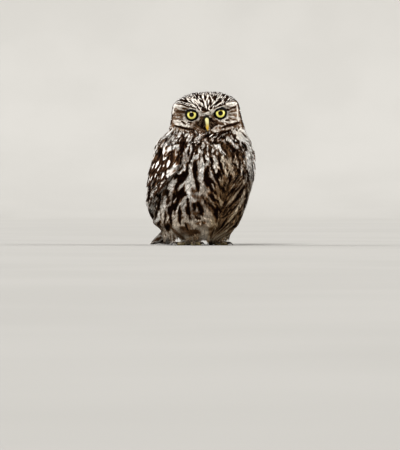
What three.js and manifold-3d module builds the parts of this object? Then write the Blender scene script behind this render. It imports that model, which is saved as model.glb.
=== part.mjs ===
import * as THREE from "three";
import { mergeVertices } from "three/addons/utils/BufferGeometryUtils.js";
import Module from "manifold-3d";

// A little owl standing on the ground, as a life-size still model.
// Millimetres, +Z up, the body facing -Y, the bird's left side at +X.

const wasm = await Module();
wasm.setup();

// Driving sizes of the whole bird.
const seamGap = 0.3;
const seamHalf = seamGap / 2;
const torsoTop = 121;
const neckTop = 131;
const bellyBottom = 13;

// The head, turned and tilted on the neck.
const headCentreY = -5;
const headTurn = THREE.MathUtils.degToRad(-28);
const headRoll = THREE.MathUtils.degToRad(-3);
const headPitch = THREE.MathUtils.degToRad(3);
const headPivotZ = 135;

// Eyes, in the head's own straight-ahead frame.
const eyeRadius = 8.2;
const eyeX = 16;
const eyeZ = 154.6;
const eyeFrontY = -38;
const eyeSplay = THREE.MathUtils.degToRad(6);
const irisOpening = 6.1;
const lidThickness = 1.1;

// Legs and feet.
const legX = 14;
const legY = 5;
const ankleZ = 5;
const toeRadius = 2.4;
const padRadius = 4.6;
const padFlatness = 0.85;

// Tail.
const tailRoot = new THREE.Vector3(0, 46, 43);
const tailSwing = THREE.MathUtils.degToRad(5);
const tailReach = 62;
const tailThickness = 3.4;
const tailTipHeight = 1.3;

const plumage = {
  crown: new THREE.MeshStandardMaterial({ color: 0x6b5038, roughness: 0.9 }),
  breast: new THREE.MeshStandardMaterial({ color: 0xb9a48a, roughness: 0.95 }),
  wing: new THREE.MeshStandardMaterial({ color: 0x5a4230, roughness: 0.85 }),
  tail: new THREE.MeshStandardMaterial({ color: 0x75604a, roughness: 0.85 }),
  leg: new THREE.MeshStandardMaterial({ color: 0xc9b89a, roughness: 0.95 }),
};
const toeSkin = new THREE.MeshStandardMaterial({ color: 0x8d8263, roughness: 0.8 });
const clawHorn = new THREE.MeshStandardMaterial({ color: 0x1d1712, roughness: 0.35 });
const billHorn = new THREE.MeshStandardMaterial({ color: 0xc2b46a, roughness: 0.4 });
const cereSkin = new THREE.MeshStandardMaterial({ color: 0x5f5a44, roughness: 0.6 });
const eyeball = new THREE.MeshStandardMaterial({ color: 0xe0d23c, roughness: 0.08 });

// Height, half width, front edge and back edge of the body's level sections.
const torsoSections = [
  [13, 14, -6, 20],
  [15, 28, -16, 36],
  [18, 37, -22.5, 48],
  [22, 42.5, -27.5, 58],
  [28, 46.5, -31.5, 66],
  [40, 51, -36.5, 68.5],
  [52, 54, -41, 65.5],
  [64, 55.6, -44.5, 61],
  [78, 56.2, -47.5, 55.5],
  [92, 55.8, -49, 49.5],
  [106, 55, -48.5, 44],
  [116, 54.2, -46.5, 39.5],
  [121, 53.5, -45, 37.5],
];
// The same for the surface that the folded wings and long back feathers lie on.
const mantleSections = [
  [10, 17, 30, 86],
  [20, 31, 0, 83],
  [30, 45, -25, 79.5],
  [40, 53.5, -34, 75],
  [52, 58.4, -41, 70],
  [64, 60.2, -44, 65],
  [78, 60.8, -47, 59.5],
  [92, 60.2, -49, 53.5],
  [106, 59, -48.5, 47.5],
  [116, 57.8, -46.5, 43],
  [124, 54, -43, 39],
];
// Head sections in its own frame: height, half width, face and nape distances from its axis.
const headSections = [
  [120, 46, 30, 38],
  [128, 45.5, 32.5, 38.5],
  [136, 44, 35, 38.5],
  [144, 42, 36, 38],
  [152, 40.3, 36, 36.5],
  [160, 39.2, 34.5, 33.5],
  [165, 37.6, 32, 31],
  [169.5, 34, 28, 27.5],
  [173.5, 28, 22.5, 22.5],
  [176.7, 20, 15.5, 16],
  [178.6, 9, 7, 8],
];
const bodySquareness = 2.25;
const faceSquareness = 2.55;
const napeSquareness = 2.1;

// A smooth reading of a table of sections at any height.
function sectionsOf(table) {
  const width = table[0].length - 1;
  const reader = new THREE.CubicInterpolant(
    table.map((row) => row[0]),
    table.flatMap((row) => row.slice(1)),
    width,
  );
  const lowest = table[0][0];
  const highest = table.at(-1)[0];
  return (z) => Array.from(reader.evaluate(THREE.MathUtils.clamp(z, lowest, highest)));
}
const torsoAt = sectionsOf(torsoSections);
const mantleAt = sectionsOf(mantleSections);
const headAt = sectionsOf(headSections);

const signedPower = (v, p) => Math.sign(v) * Math.abs(v) ** p;

// A point of a level superellipse section; the angle runs from the front round by the bird's left.
function sectionPoint([halfWidth, front, back], angle, z, squareness, grow = 0) {
  const middle = (front + back) / 2;
  const depth = (back - front) / 2;
  const p = 2 / squareness;
  return new THREE.Vector3(
    (halfWidth + grow) * signedPower(Math.sin(angle), p),
    middle - (depth + grow) * signedPower(Math.cos(angle), p),
    z,
  );
}

// A closed surface from rings of points, each end drawn together at its own middle and each
// four-cornered cell split along its shorter diagonal.
function closedRings(rings) {
  const count = rings[0].length;
  const points = rings.flat();
  const middles = [rings[0], rings.at(-1)].map((ring) =>
    ring.reduce((sum, p) => sum.add(p), new THREE.Vector3()).divideScalar(count),
  );
  points.push(...middles);
  const index = [];
  const last = (rings.length - 1) * count;
  for (let j = 0; j < count; j++) {
    const k = (j + 1) % count;
    for (let i = 0; i < rings.length - 1; i++) {
      const [a, b] = [i * count + j, i * count + k];
      const [c, d] = [b + count, a + count];
      const rising = points[a].distanceTo(points[c]) <= points[b].distanceTo(points[d]);
      index.push(...(rising ? [a, b, c, a, c, d] : [a, b, d, b, c, d]));
    }
    index.push(rings.length * count, k, j);
    index.push(rings.length * count + 1, last + j, last + k);
  }
  return new THREE.BufferGeometry().setFromPoints(points).setIndex(index);
}

// A three.js geometry as a solid with its faces pointing outwards.
function solid(geometry) {
  const bare = geometry.clone();
  bare.deleteAttribute("normal");
  bare.deleteAttribute("uv");
  const merged = mergeVertices(bare, 1e-4);
  const position = merged.attributes.position;
  const corners = [];
  const index = merged.index.array;
  let volume = 0;
  const [a, b, c] = [new THREE.Vector3(), new THREE.Vector3(), new THREE.Vector3()];
  for (let i = 0; i < index.length; i += 3) {
    const [p, q, r] = [index[i], index[i + 1], index[i + 2]];
    if (p === q || q === r || r === p) continue;
    corners.push(p, q, r);
    a.fromBufferAttribute(position, p);
    b.fromBufferAttribute(position, q);
    c.fromBufferAttribute(position, r);
    volume += a.dot(b.cross(c));
  }
  if (volume < 0) corners.reverse();
  return new wasm.Manifold(
    new wasm.Mesh({
      numProp: 3,
      vertProperties: new Float32Array(position.array),
      triVerts: new Uint32Array(corners),
    }),
  );
}

// A named mesh of the largest closed surface of a solid.
function node(name, shape, material) {
  const largest = shape
    .decompose()
    .reduce((best, piece) => (piece.volume() > best.volume() ? piece : best));
  const { vertProperties, triVerts } = largest.getMesh();
  const geometry = new THREE.BufferGeometry();
  geometry.setAttribute("position", new THREE.BufferAttribute(vertProperties, 3));
  geometry.setIndex(new THREE.BufferAttribute(triVerts, 1));
  geometry.computeVertexNormals();
  const mesh = new THREE.Mesh(geometry, material);
  mesh.name = name;
  return mesh;
}

const placed = (geometry, matrix) => solid(geometry.clone().applyMatrix4(matrix));
const joined = (pieces) => wasm.Manifold.union(pieces);
const smoothstep = (t) => THREE.MathUtils.smoothstep(t, 0, 1);

// Torso: level sections from the belly to the shoulders, with a shallow cleft between the thighs.
const bodyAngles = Array.from({ length: 36 }, (_, j) => (j * 2 * Math.PI) / 36);
const cleftDepth = 4;
const cleftTop = 52;
const cleftHalfAngle = 0.3;

function torsoPoint(angle, z, grow = 0) {
  const p = sectionPoint(torsoAt(z), angle, z, bodySquareness, grow);
  const turn = Math.atan2(Math.sin(angle), Math.cos(angle));
  const low = smoothstep((cleftTop - z) / 30);
  p.y += cleftDepth * low * Math.exp(-((turn / cleftHalfAngle) ** 2));
  return p;
}

// Rump: the lower back drawn out over the root of the tail.
const rumpLine = new THREE.QuadraticBezierCurve3(
  new THREE.Vector3(0, 32, 37),
  new THREE.Vector3(-1, 62, 36),
  new THREE.Vector3(-3, 81, 17.5),
);
function rumpSolid(grow) {
  const size = (t) => [27 - 14 * t ** 1.2 + grow, 13 - 11.6 * t ** 0.9 + grow];
  return solid(taperedTube(rumpLine, 18, 6, size));
}

function torsoSolid(grow = 0) {
  const levels = [13, 14.5, 17, 21, 27, 35, 45, 56, 68, 82, 95, 106, 114];
  const bottom = levels.map((z) =>
    bodyAngles.map((angle) => {
      const p = torsoPoint(angle, z, grow);
      if (z === bellyBottom) p.z -= grow;
      return p;
    }),
  );
  const top = torsoTop - seamHalf + grow;
  const crest = bodyAngles.map((angle) => torsoPoint(angle, torsoTop, grow).setZ(top));
  return joined([solid(closedRings([...bottom, crest])), rumpSolid(grow)]);
}

// The head's own frame, turned on the neck.
const headFrame = new THREE.Matrix4()
  .makeTranslation(0, headCentreY, headPivotZ)
  .multiply(
    new THREE.Matrix4().makeRotationFromEuler(
      new THREE.Euler(headPitch, headRoll, headTurn, "ZYX"),
    ),
  )
  .multiply(new THREE.Matrix4().makeTranslation(0, 0, -headPivotZ));

// How far the face stands out or dips at a place across and up the face.
const dishRadius = 20;
const dishDepth = 4.4;
const browHeight = 3.4;
const browInner = [4, 157.5];
const browOuter = [37, 167.5];
const browWidth = 3.6;
const ruffHeight = 2.2;

function faceRelief(x, z) {
  const side = Math.abs(x);
  const fromEye = Math.hypot(side - eyeX, (z - eyeZ) * 1.05);
  const dish = -dishDepth * smoothstep((dishRadius - fromEye) / (dishRadius * 0.75));
  const [x0, z0] = browInner;
  const [x1, z1] = browOuter;
  const along = ((side - x0) * (x1 - x0) + (z - z0) * (z1 - z0)) / ((x1 - x0) ** 2 + (z1 - z0) ** 2);
  const t = THREE.MathUtils.clamp(along, 0, 1);
  const fromBrow = Math.hypot(side - x0 - t * (x1 - x0), z - z0 - t * (z1 - z0));
  const brow = browHeight * Math.exp(-((fromBrow / browWidth) ** 2));
  const below = smoothstep((eyeZ - z) / 12);
  const rim = ruffHeight * below * Math.exp(-(((fromEye - 23.5) / 3) ** 2));
  return dish + brow + rim;
}

function headPoint(angle, z) {
  const [halfWidth, face, nape] = headAt(z);
  const ahead = smoothstep((Math.cos(angle) + 0.2) / 0.6);
  const squareness = THREE.MathUtils.lerp(napeSquareness, faceSquareness, ahead);
  const p = sectionPoint([halfWidth, -face, nape], angle, z, squareness);
  const facing = smoothstep((Math.cos(angle) - 0.05) / 0.5);
  p.y -= facing * faceRelief(p.x, z);
  return p;
}

function headShell() {
  const around = 42;
  const angles = Array.from({ length: around }, (_, j) => {
    const even = (j * 2 * Math.PI) / around;
    return even - 0.52 * Math.sin(even);
  });
  const levels = [];
  for (let z = 129; z < 143; z += 3.6) levels.push(z);
  for (let z = 143.4; z < 164; z += 2.2) levels.push(z);
  levels.push(166.6, 169.6, 172.4, 175, 177.1, 178.6);
  const rings = levels.map((z) => angles.map((angle) => headPoint(angle, z)));
  return placed(closedRings(rings), headFrame);
}

// One eyeball's frame: its centre, with the line of sight along -Y.
function eyeFrame(side) {
  return headFrame
    .clone()
    .multiply(new THREE.Matrix4().makeTranslation(side * eyeX, eyeFrontY - headCentreY + eyeRadius, eyeZ))
    .multiply(new THREE.Matrix4().makeRotationZ(side * eyeSplay));
}
const ball = (radius, detail = 18) => new THREE.SphereGeometry(radius, detail, detail / 2);

// Lids: a ring close over the eyeball round its opening, joined to the head.
const lidRound = 16;
function lidSolid(side) {
  const inner = eyeRadius + seamGap + 0.1;
  const outer = inner + lidThickness;
  const edge = Math.asin(irisOpening / inner);
  const back = 1.25;
  const profile = [];
  for (const turn of [edge, (edge + back) / 2, back]) profile.push([inner, turn]);
  for (const turn of [back, (edge + back) / 2, edge + 0.05]) profile.push([outer, turn]);
  profile.push(profile[0]);
  const points = profile.map(([r, turn]) => new THREE.Vector2(r * Math.sin(turn), r * Math.cos(turn)));
  return placed(
    new THREE.LatheGeometry(points, lidRound),
    eyeFrame(side).multiply(new THREE.Matrix4().makeRotationX(Math.PI)),
  );
}

// Bill: sections along a hooked line from the forehead down.
const billLine = new THREE.CubicBezierCurve3(
  new THREE.Vector3(0, -30, 148),
  new THREE.Vector3(0, -45.5, 150.5),
  new THREE.Vector3(0, -50.5, 142.5),
  new THREE.Vector3(0, -46.8, 133.2),
);
const billHalfWidth = 2.9;
const billHalfDepth = 4.6;
const lowerBillLine = new THREE.QuadraticBezierCurve3(
  new THREE.Vector3(0, -30, 142.2),
  new THREE.Vector3(0, -44.6, 144.4),
  new THREE.Vector3(0, -46.4, 137),
);

// A tapered tube along a line in the plane x = 0 or near it.
function taperedTube(line, sides, steps, size) {
  const rings = [];
  for (let i = 0; i <= steps; i++) {
    const t = i / steps;
    const p = line.getPoint(t);
    const ahead = line.getTangent(t);
    const across = new THREE.Vector3(1, 0, 0);
    if (Math.abs(ahead.x) > 0.1) across.set(-ahead.y, ahead.x, 0);
    across.addScaledVector(ahead, -across.dot(ahead)).normalize();
    const up = new THREE.Vector3().crossVectors(ahead, across).normalize();
    const [halfAcross, halfUp] = size(t);
    rings.push(
      Array.from({ length: sides }, (_, j) => {
        const turn = (j * 2 * Math.PI) / sides;
        return p
          .clone()
          .addScaledVector(across, halfAcross * Math.cos(turn))
          .addScaledVector(up, halfUp * Math.sin(turn));
      }),
    );
  }
  return closedRings(rings);
}
const inHead = headFrame.clone().multiply(new THREE.Matrix4().makeTranslation(0, -headCentreY, 0));
const billSize = (grow) => (t) => {
  const taper = (1 - 0.93 * t ** 2.2) ** 0.8;
  return [billHalfWidth * taper + grow, billHalfDepth * (1 - 0.94 * t ** 1.4) + grow];
};
const lowerBillSize = (grow) => (t) => [2.6 * (1 - 0.8 * t ** 2) + grow, 1.7 * (1 - 0.8 * t ** 2) + grow];
const upperBill = (grow) => placed(taperedTube(billLine, 14, 11, billSize(grow)), inHead);
const lowerBill = (grow) => placed(taperedTube(lowerBillLine, 10, 6, lowerBillSize(grow)), inHead);

// Cere: the swollen skin over the root of the bill, with a nostril each side.
const cereLine = new THREE.QuadraticBezierCurve3(
  new THREE.Vector3(0, -31, 148.6),
  new THREE.Vector3(0, -39.5, 150),
  new THREE.Vector3(0, -43.6, 148.2),
);
const cereSize = (grow) => (t) => [4.3 - 0.8 * t ** 3 + grow, 5.2 - 1.2 * t ** 3 + grow];
const cereBlock = (grow) => placed(taperedTube(cereLine, 12, 4, cereSize(grow)), inHead);
const nostrilRadius = 0.75;
function nostril(side) {
  const frame = inHead
    .clone()
    .multiply(new THREE.Matrix4().makeTranslation(side * 3.6, -41.6, 149))
    .multiply(new THREE.Matrix4().makeRotationFromEuler(new THREE.Euler(0, 0, Math.PI / 2 + side * 0.5)));
  return placed(new THREE.CylinderGeometry(nostrilRadius, nostrilRadius, 2.4, 8), frame);
}

const billZone = joined([upperBill(seamGap), lowerBill(seamGap), cereBlock(seamGap)]);

function headSolid() {
  let head = joined([headShell(), lidSolid(-1), lidSolid(1)]);
  const socket = ball(eyeRadius + seamGap + 0.05);
  for (const side of [-1, 1]) head = head.subtract(placed(socket, eyeFrame(side)));
  return head.subtract(billZone).trimByPlane([0, 0, 1], neckTop + seamHalf);
}

// Neck: a collar that runs from the torso's top section to the head's lowest one.
const neckBulge = 0.8;
function neckSolid() {
  const headBase = bodyAngles.map((angle) =>
    headPoint(angle - headTurn, neckTop).applyMatrix4(headFrame),
  );
  const rings = [];
  const steps = 3;
  const bottom = torsoTop + seamHalf;
  const top = neckTop - seamHalf;
  for (let i = 0; i <= steps; i++) {
    const t = i / steps;
    const z = THREE.MathUtils.lerp(bottom, top, t);
    rings.push(
      bodyAngles.map((angle, j) => {
        const low = torsoPoint(angle, torsoTop);
        const p = low.lerp(headBase[j], t ** 1.35);
        p.x *= 1 + (neckBulge * Math.sin(Math.PI * t)) / 50;
        return p.setZ(z);
      }),
    );
  }
  return solid(closedRings(rings));
}

// Wings: a place along the wing, from the shoulder at 0 to the tip at 1, and across it, from
// the leading edge at 0 to the back at 1, lies on the mantle.
const wingTop = 119;
const wingTipZ = 22;
const leadingEdge = sectionsOf([
  [0, 82],
  [0.05, 70],
  [0.14, 63],
  [0.3, 64],
  [0.5, 72],
  [0.7, 92],
  [0.85, 122],
  [1, 158],
]);
const innerEdge = sectionsOf([
  [0, 102],
  [0.12, 126],
  [0.3, 146],
  [0.5, 158],
  [0.7, 166],
  [0.85, 170],
  [1, 173],
]);

function wingPoint(side, s, t, lift) {
  const z = THREE.MathUtils.lerp(wingTop, wingTipZ, s);
  const angle = THREE.MathUtils.degToRad(THREE.MathUtils.lerp(leadingEdge(s)[0], innerEdge(s)[0], t));
  return sectionPoint(mantleAt(z), side * angle, z, bodySquareness, lift);
}

// A closed sheet of two faces from a function of place and face, both split alike.
function closedSheet(rows, columns, point) {
  const points = [];
  for (const face of [0, 1])
    for (let i = 0; i <= rows; i++)
      for (let j = 0; j <= columns; j++) points.push(point(i / rows, j / columns, face));
  const stride = columns + 1;
  const under = (rows + 1) * stride;
  const index = [];
  for (let i = 0; i < rows; i++)
    for (let j = 0; j < columns; j++) {
      const a = i * stride + j;
      const [b, c, d] = [a + 1, a + stride + 1, a + stride];
      index.push(a, b, c, a, c, d, under + a, under + c, under + b, under + a, under + d, under + c);
    }
  const rim = [];
  for (let j = 0; j < columns; j++) rim.push(j);
  for (let i = 0; i < rows; i++) rim.push(i * stride + columns);
  for (let j = columns; j > 0; j--) rim.push(rows * stride + j);
  for (let i = rows; i > 0; i--) rim.push(i * stride);
  rim.forEach((a, k) => {
    const b = rim[(k + 1) % rim.length];
    index.push(b, a, under + a, b, under + a, under + b);
  });
  return new THREE.BufferGeometry().setFromPoints(points).setIndex(index);
}

// The folded arm and the feather roots, which the vanes grow from. Its inner face lies against
// the torso, or a full thickness below the outer face where the torso falls away from it.
const baseEnd = 0.76;
const baseThickness = 3.2;
const baseGap = seamGap + 0.4;
function baseInner(outer) {
  const [halfWidth, front, back] = torsoAt(outer.z);
  const middle = new THREE.Vector3(0, (front + back) / 2, outer.z);
  const spoke = outer.clone().sub(middle);
  const across = Math.abs(spoke.x / halfWidth) ** bodySquareness;
  const along = Math.abs((2 * spoke.y) / (back - front)) ** bodySquareness;
  const reach = spoke.length();
  const torsoReach = reach * (across + along) ** (-1 / bodySquareness);
  const inner = Math.max(torsoReach + baseGap, reach - baseThickness);
  return middle.addScaledVector(spoke, inner / reach);
}
function wingBase(side) {
  return solid(
    closedSheet(9, 8, (v, t, face) => {
      const edge = Math.min(1, v / 0.11, t / 0.12);
      const outer = wingPoint(side, v * baseEnd, t, 0);
      const inner = baseInner(outer);
      return face ? inner : inner.lerp(outer, 0.3 + 0.7 * edge);
    }),
  );
}

// A feather's half width along it, as a share of its widest: narrow at the root, round at the tip.
function featherOutline(v, roundFrom) {
  const shoulder = 0.7 + 0.3 * smoothstep(v * 2.2);
  const past = Math.max(0, (v - roundFrom) / (1.04 - roundFrom));
  return shoulder * Math.sqrt(1 - past ** 2);
}

// One wing feather from a root place to a tip place. Its leading edge rides on the feather in
// front of it. Over the arm its underside is sunk in the base; past it the vane is thin and free.
const vaneTilt = 0.5;
const sunkDepth = 0.8;
const rootDepth = 1.2;
function wingVane(side, { from, to, width, lift, rows, thickness }) {
  const step = 1e-3;
  return solid(
    closedSheet(rows, 2, (along, t, face) => {
      const v = 1 - (1 - along) ** 1.4;
      const s0 = THREE.MathUtils.lerp(from[0], to[0], v);
      const t0 = THREE.MathUtils.lerp(from[1], to[1], v);
      const here = wingPoint(side, s0, t0, 0);
      const down = wingPoint(side, s0 + step, t0, 0).sub(here);
      const over = wingPoint(side, s0, t0 + step, 0).sub(here);
      const ahead = down
        .clone()
        .multiplyScalar(to[0] - from[0])
        .addScaledVector(over, to[1] - from[1]);
      const out = new THREE.Vector3().crossVectors(down, over).normalize();
      const sideways = new THREE.Vector3().crossVectors(out, ahead).normalize();
      if (sideways.dot(over) < 0) sideways.negate();
      const reach = (t - 0.5) * width * featherOutline(v, 0.6);
      const [dd, da, aa] = [down.dot(down), down.dot(over), over.dot(over)];
      const [ds, dt] = [sideways.dot(down) * reach, sideways.dot(over) * reach];
      const s = s0 + (step * (ds * aa - dt * da)) / (dd * aa - da * da);
      const a = t0 + (step * (dt * dd - ds * da)) / (dd * aa - da * da);
      const risen = v ** 0.6;
      const top = THREE.MathUtils.lerp(-rootDepth, lift, risen) - vaneTilt * risen * (2 * t - 1);
      const free = smoothstep((s - baseEnd + 0.04) / 0.08);
      const under = THREE.MathUtils.lerp(-sunkDepth, top - thickness, free);
      return wingPoint(side, s, a, face ? Math.min(under, top - 0.3) : top);
    }),
  );
}

// The tiers of a wing, lowest first: primaries, secondaries, tertials, primary coverts, greater
// coverts, median coverts and scapulars. Each spreads its feathers evenly from the leading edge
// towards the back. Roots and tips are places along the wing, spans are places across it, and
// the lift is how high the first and the last tip stand over the base.
const wingTiers = [
  { count: 6, root: [0.5, 0.52], rootSpan: [0.12, 0.4], tip: [0.98, 0.84], tipSpan: [0.2, 0.7],
    width: 11.5, lift: [-0.2, 0.6], rows: 3, thickness: 0.9 },
  { count: 6, root: [0.32, 0.36], rootSpan: [0.22, 0.62], tip: [0.72, 0.78], tipSpan: [0.16, 0.8],
    width: 13, lift: [0.6, 1.2], rows: 3, thickness: 0.9 },
  { count: 3, root: [0.28, 0.32], rootSpan: [0.7, 0.88], tip: [0.7, 0.6], tipSpan: [0.78, 0.98],
    width: 15, lift: [1.5, 1.9], rows: 3, thickness: 0.9 },
  { count: 3, root: [0.32, 0.36], rootSpan: [0.08, 0.22], tip: [0.57, 0.6], tipSpan: [0.06, 0.24],
    width: 11, lift: [1.1, 1.3], rows: 2, thickness: 0.9 },
  { count: 6, root: [0.2, 0.24], rootSpan: [0.14, 0.74], tip: [0.47, 0.52], tipSpan: [0.12, 0.8],
    width: 15.5, lift: [1.5, 2], rows: 3, thickness: 0.9 },
  { count: 5, root: [0.05, 0.1], rootSpan: [0.16, 0.66], tip: [0.31, 0.34], tipSpan: [0.1, 0.72],
    width: 18.5, lift: [1.9, 2.4], rows: 3, thickness: 0.9 },
  { count: 5, root: [0.03, 0.3], rootSpan: [0.78, 0.86], tip: [0.25, 0.53], tipSpan: [0.86, 0.93],
    width: 18, lift: [2.5, 2.9], rows: 3, thickness: 0.9 },
];

function tierFeathers(tier) {
  const mix = ([first, last], share) => THREE.MathUtils.lerp(first, last, share);
  return Array.from({ length: tier.count }, (_, k) => {
    const share = k / (tier.count - 1);
    return {
      ...tier,
      from: [mix(tier.root, share), mix(tier.rootSpan, share)],
      to: [mix(tier.tip, share), mix(tier.tipSpan, share)],
      lift: mix(tier.lift, share),
    };
  });
}

function wingSolid(side) {
  const vanes = wingTiers.flatMap(tierFeathers).map((feather) => wingVane(side, feather));
  return joined([wingBase(side), ...vanes]);
}

// Tail: a level place behind the root and across the tail gives a point of its upper face.
function tailPoint(q, across, drop) {
  const back = q * tailReach;
  const slope = 1 - (1 - q) ** 1.2;
  const z = THREE.MathUtils.lerp(tailRoot.z, tailTipHeight, slope);
  const x = tailRoot.x - back * Math.sin(tailSwing) + across * Math.cos(tailSwing);
  const y = tailRoot.y + back * Math.cos(tailSwing) + across * Math.sin(tailSwing);
  return new THREE.Vector3(x, y, z - drop);
}

// Twelve tail feathers, the middle pair on top and each next one a step lower and further out.
const tailPairs = 6;
const tailFeatherWidth = 12.5;
const tailSpread = [1, 2.1];
const tailStep = 0.42;
const tailVaneThickness = 0.75;
const tailRootEnd = 0.45;

function tailVane(side, pair) {
  const length = 1 - 0.012 * pair;
  return solid(
    closedSheet(5, 2, (along, t, face) => {
      const v = 1 - (1 - along) ** 1.5;
      const middle = side * (pair + 0.5) * THREE.MathUtils.lerp(tailSpread[0], tailSpread[1], v);
      const across = middle + (2 * t - 1) * 0.5 * tailFeatherWidth * featherOutline(v, 0.72);
      const arch = 0.35 * (2 * t - 1) ** 2;
      return tailPoint(v * length, across, pair * tailStep + arch + face * tailVaneThickness);
    }),
  );
}

function tailSolid() {
  const root = solid(
    closedSheet(5, 6, (v, t, face) => {
      const u = 2 * t - 1;
      const across = u * (11 + 5 * v);
      const thick = (tailThickness + 1.6) * (1 - 0.75 * v);
      return tailPoint(v * tailRootEnd, across, 1.2 * u * u + 0.5 + face * thick);
    }),
  );
  const vanes = [];
  for (let pair = 0; pair < tailPairs; pair++) for (const side of [-1, 1]) vanes.push(tailVane(side, pair));
  return joined([root, ...vanes]);
}

// Legs: feathered thighs and shanks, full under the belly and narrow at the ankle.
const legSections = sectionsOf([
  [4, 4.2, -4.6, 5],
  [5.6, 5.4, -6.5, 6.8],
  [7.6, 8.8, -11, 11],
  [11, 12, -16, 16.5],
  [16, 13.6, -19, 20.5],
  [24, 13.6, -18, 21],
]);
const legLevels = [4, 6, 8.5, 12, 17, 24];
function legSolid(side) {
  const rings = legLevels.map((z) =>
    Array.from({ length: 14 }, (_, j) => {
      const p = sectionPoint(legSections(z), (j * Math.PI) / 7, z, 2.1);
      return p.add(new THREE.Vector3(side * legX, legY, 0));
    }),
  );
  return solid(closedRings(rings));
}

// Feet: four toes from the ankle, two ahead, one out to the side and one behind.
const toes = [
  { name: "inner", turn: -8, length: 17 },
  { name: "middle", turn: 24, length: 21 },
  { name: "outer", turn: 104, length: 18 },
  { name: "hind", turn: 172, length: 12 },
];
const clawLength = 9.5;

function toeFrame(side, toe) {
  const turn = THREE.MathUtils.degToRad(toe.turn) * side;
  return new THREE.Matrix4()
    .makeTranslation(side * legX, legY, 0)
    .multiply(new THREE.Matrix4().makeRotationZ(turn));
}

function toeLine(toe) {
  return new THREE.CatmullRomCurve3([
    new THREE.Vector3(0, 1, ankleZ),
    new THREE.Vector3(0, -toe.length * 0.35, 3.6),
    new THREE.Vector3(0, -toe.length * 0.7, toeRadius * 0.82),
    new THREE.Vector3(0, -toe.length, toeRadius * 0.64),
  ]);
}

function toeSolid(side, toe) {
  const size = (t) => {
    const knuckle = 1 + 0.1 * Math.cos(t * 6 * Math.PI);
    const round = t > 0.9 ? 0.8 : 1;
    const half = THREE.MathUtils.lerp(3.1, toeRadius * 0.86, t) * knuckle * round;
    return [half, half];
  };
  return placed(taperedTube(toeLine(toe), 7, 5, size), toeFrame(side, toe));
}

// The round pad under the ankle, and room for it and the toes' roots under the leg's feathering.
function footPad(side, grow, detail) {
  return placed(
    ball(padRadius + grow, detail).scale(1, 1, padFlatness),
    new THREE.Matrix4().makeTranslation(side * legX, legY, ankleZ - 1),
  );
}
const roomRadius = 4.2;
function footRoom(side) {
  const roots = toes.map((toe) =>
    placed(taperedTube(toeLine(toe), 6, 3, () => [roomRadius, roomRadius]), toeFrame(side, toe)),
  );
  return joined([footPad(side, 2 * seamGap, 12), ...roots]);
}

function clawSolid(side, toe, grow = 0) {
  const start = -toe.length + 1.5;
  const line = new THREE.QuadraticBezierCurve3(
    new THREE.Vector3(0, start, 2.4),
    new THREE.Vector3(0, start - clawLength * 0.75, 4.4),
    new THREE.Vector3(0, start - clawLength, 0.3),
  );
  const size = (t) => {
    const half = 1.5 * (1 - 0.9 * t ** 1.3) + grow;
    return [half * 0.85, half];
  };
  return placed(taperedTube(line, 6, 5, size), toeFrame(side, toe));
}

function footSolid(side) {
  let foot = joined([footPad(side, 0, 10), ...toes.map((toe) => toeSolid(side, toe))]);
  foot = foot.subtract(joined(toes.map((toe) => clawSolid(side, toe, seamGap))));
  return foot.trimByPlane([0, 0, 1], 0);
}

const torsoGrown = torsoSolid(seamGap);
const rumpGrown = rumpSolid(seamGap);
const lowerBillGrown = lowerBill(seamGap);
const owl = new THREE.Group();
owl.add(node("torso", torsoSolid(), plumage.breast));
owl.add(node("neck", neckSolid(), plumage.breast));
owl.add(node("head", headSolid(), plumage.crown));
const horn = upperBill(0).subtract(cereBlock(seamGap)).subtract(lowerBillGrown);
owl.add(node("bill_upper", horn, billHorn));
owl.add(node("bill_lower", lowerBill(0), billHorn));
const nostrils = joined([nostril(-1), nostril(1)]);
owl.add(node("cere", cereBlock(0).subtract(nostrils).subtract(lowerBillGrown), cereSkin));
for (const [side, name] of [
  [1, "left"],
  [-1, "right"],
]) {
  owl.add(node(`eye_${name}`, placed(ball(eyeRadius), eyeFrame(side)), eyeball));
  owl.add(node(`wing_${name}`, wingSolid(side).subtract(rumpGrown), plumage.wing));
  const leg = legSolid(side).subtract(torsoGrown).subtract(footRoom(side));
  owl.add(node(`leg_${name}`, leg, plumage.leg));
  owl.add(node(`foot_${name}`, footSolid(side), toeSkin));
  for (const toe of toes) {
    const claw = clawSolid(side, toe).trimByPlane([0, 0, 1], 0);
    owl.add(node(`claw_${name}_${toe.name}`, claw, clawHorn));
  }
}
const tailShape = tailSolid().subtract(torsoGrown).trimByPlane([0, 0, 1], 0);
owl.add(node("tail", tailShape, plumage.tail));

// The origin is on the ground, under the middle of the bird's own box.
const middle = new THREE.Box3().setFromObject(owl).getCenter(new THREE.Vector3());
owl.position.set(-middle.x, -middle.y, 0);

export default owl;
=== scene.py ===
import math
from functools import partial

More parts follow.
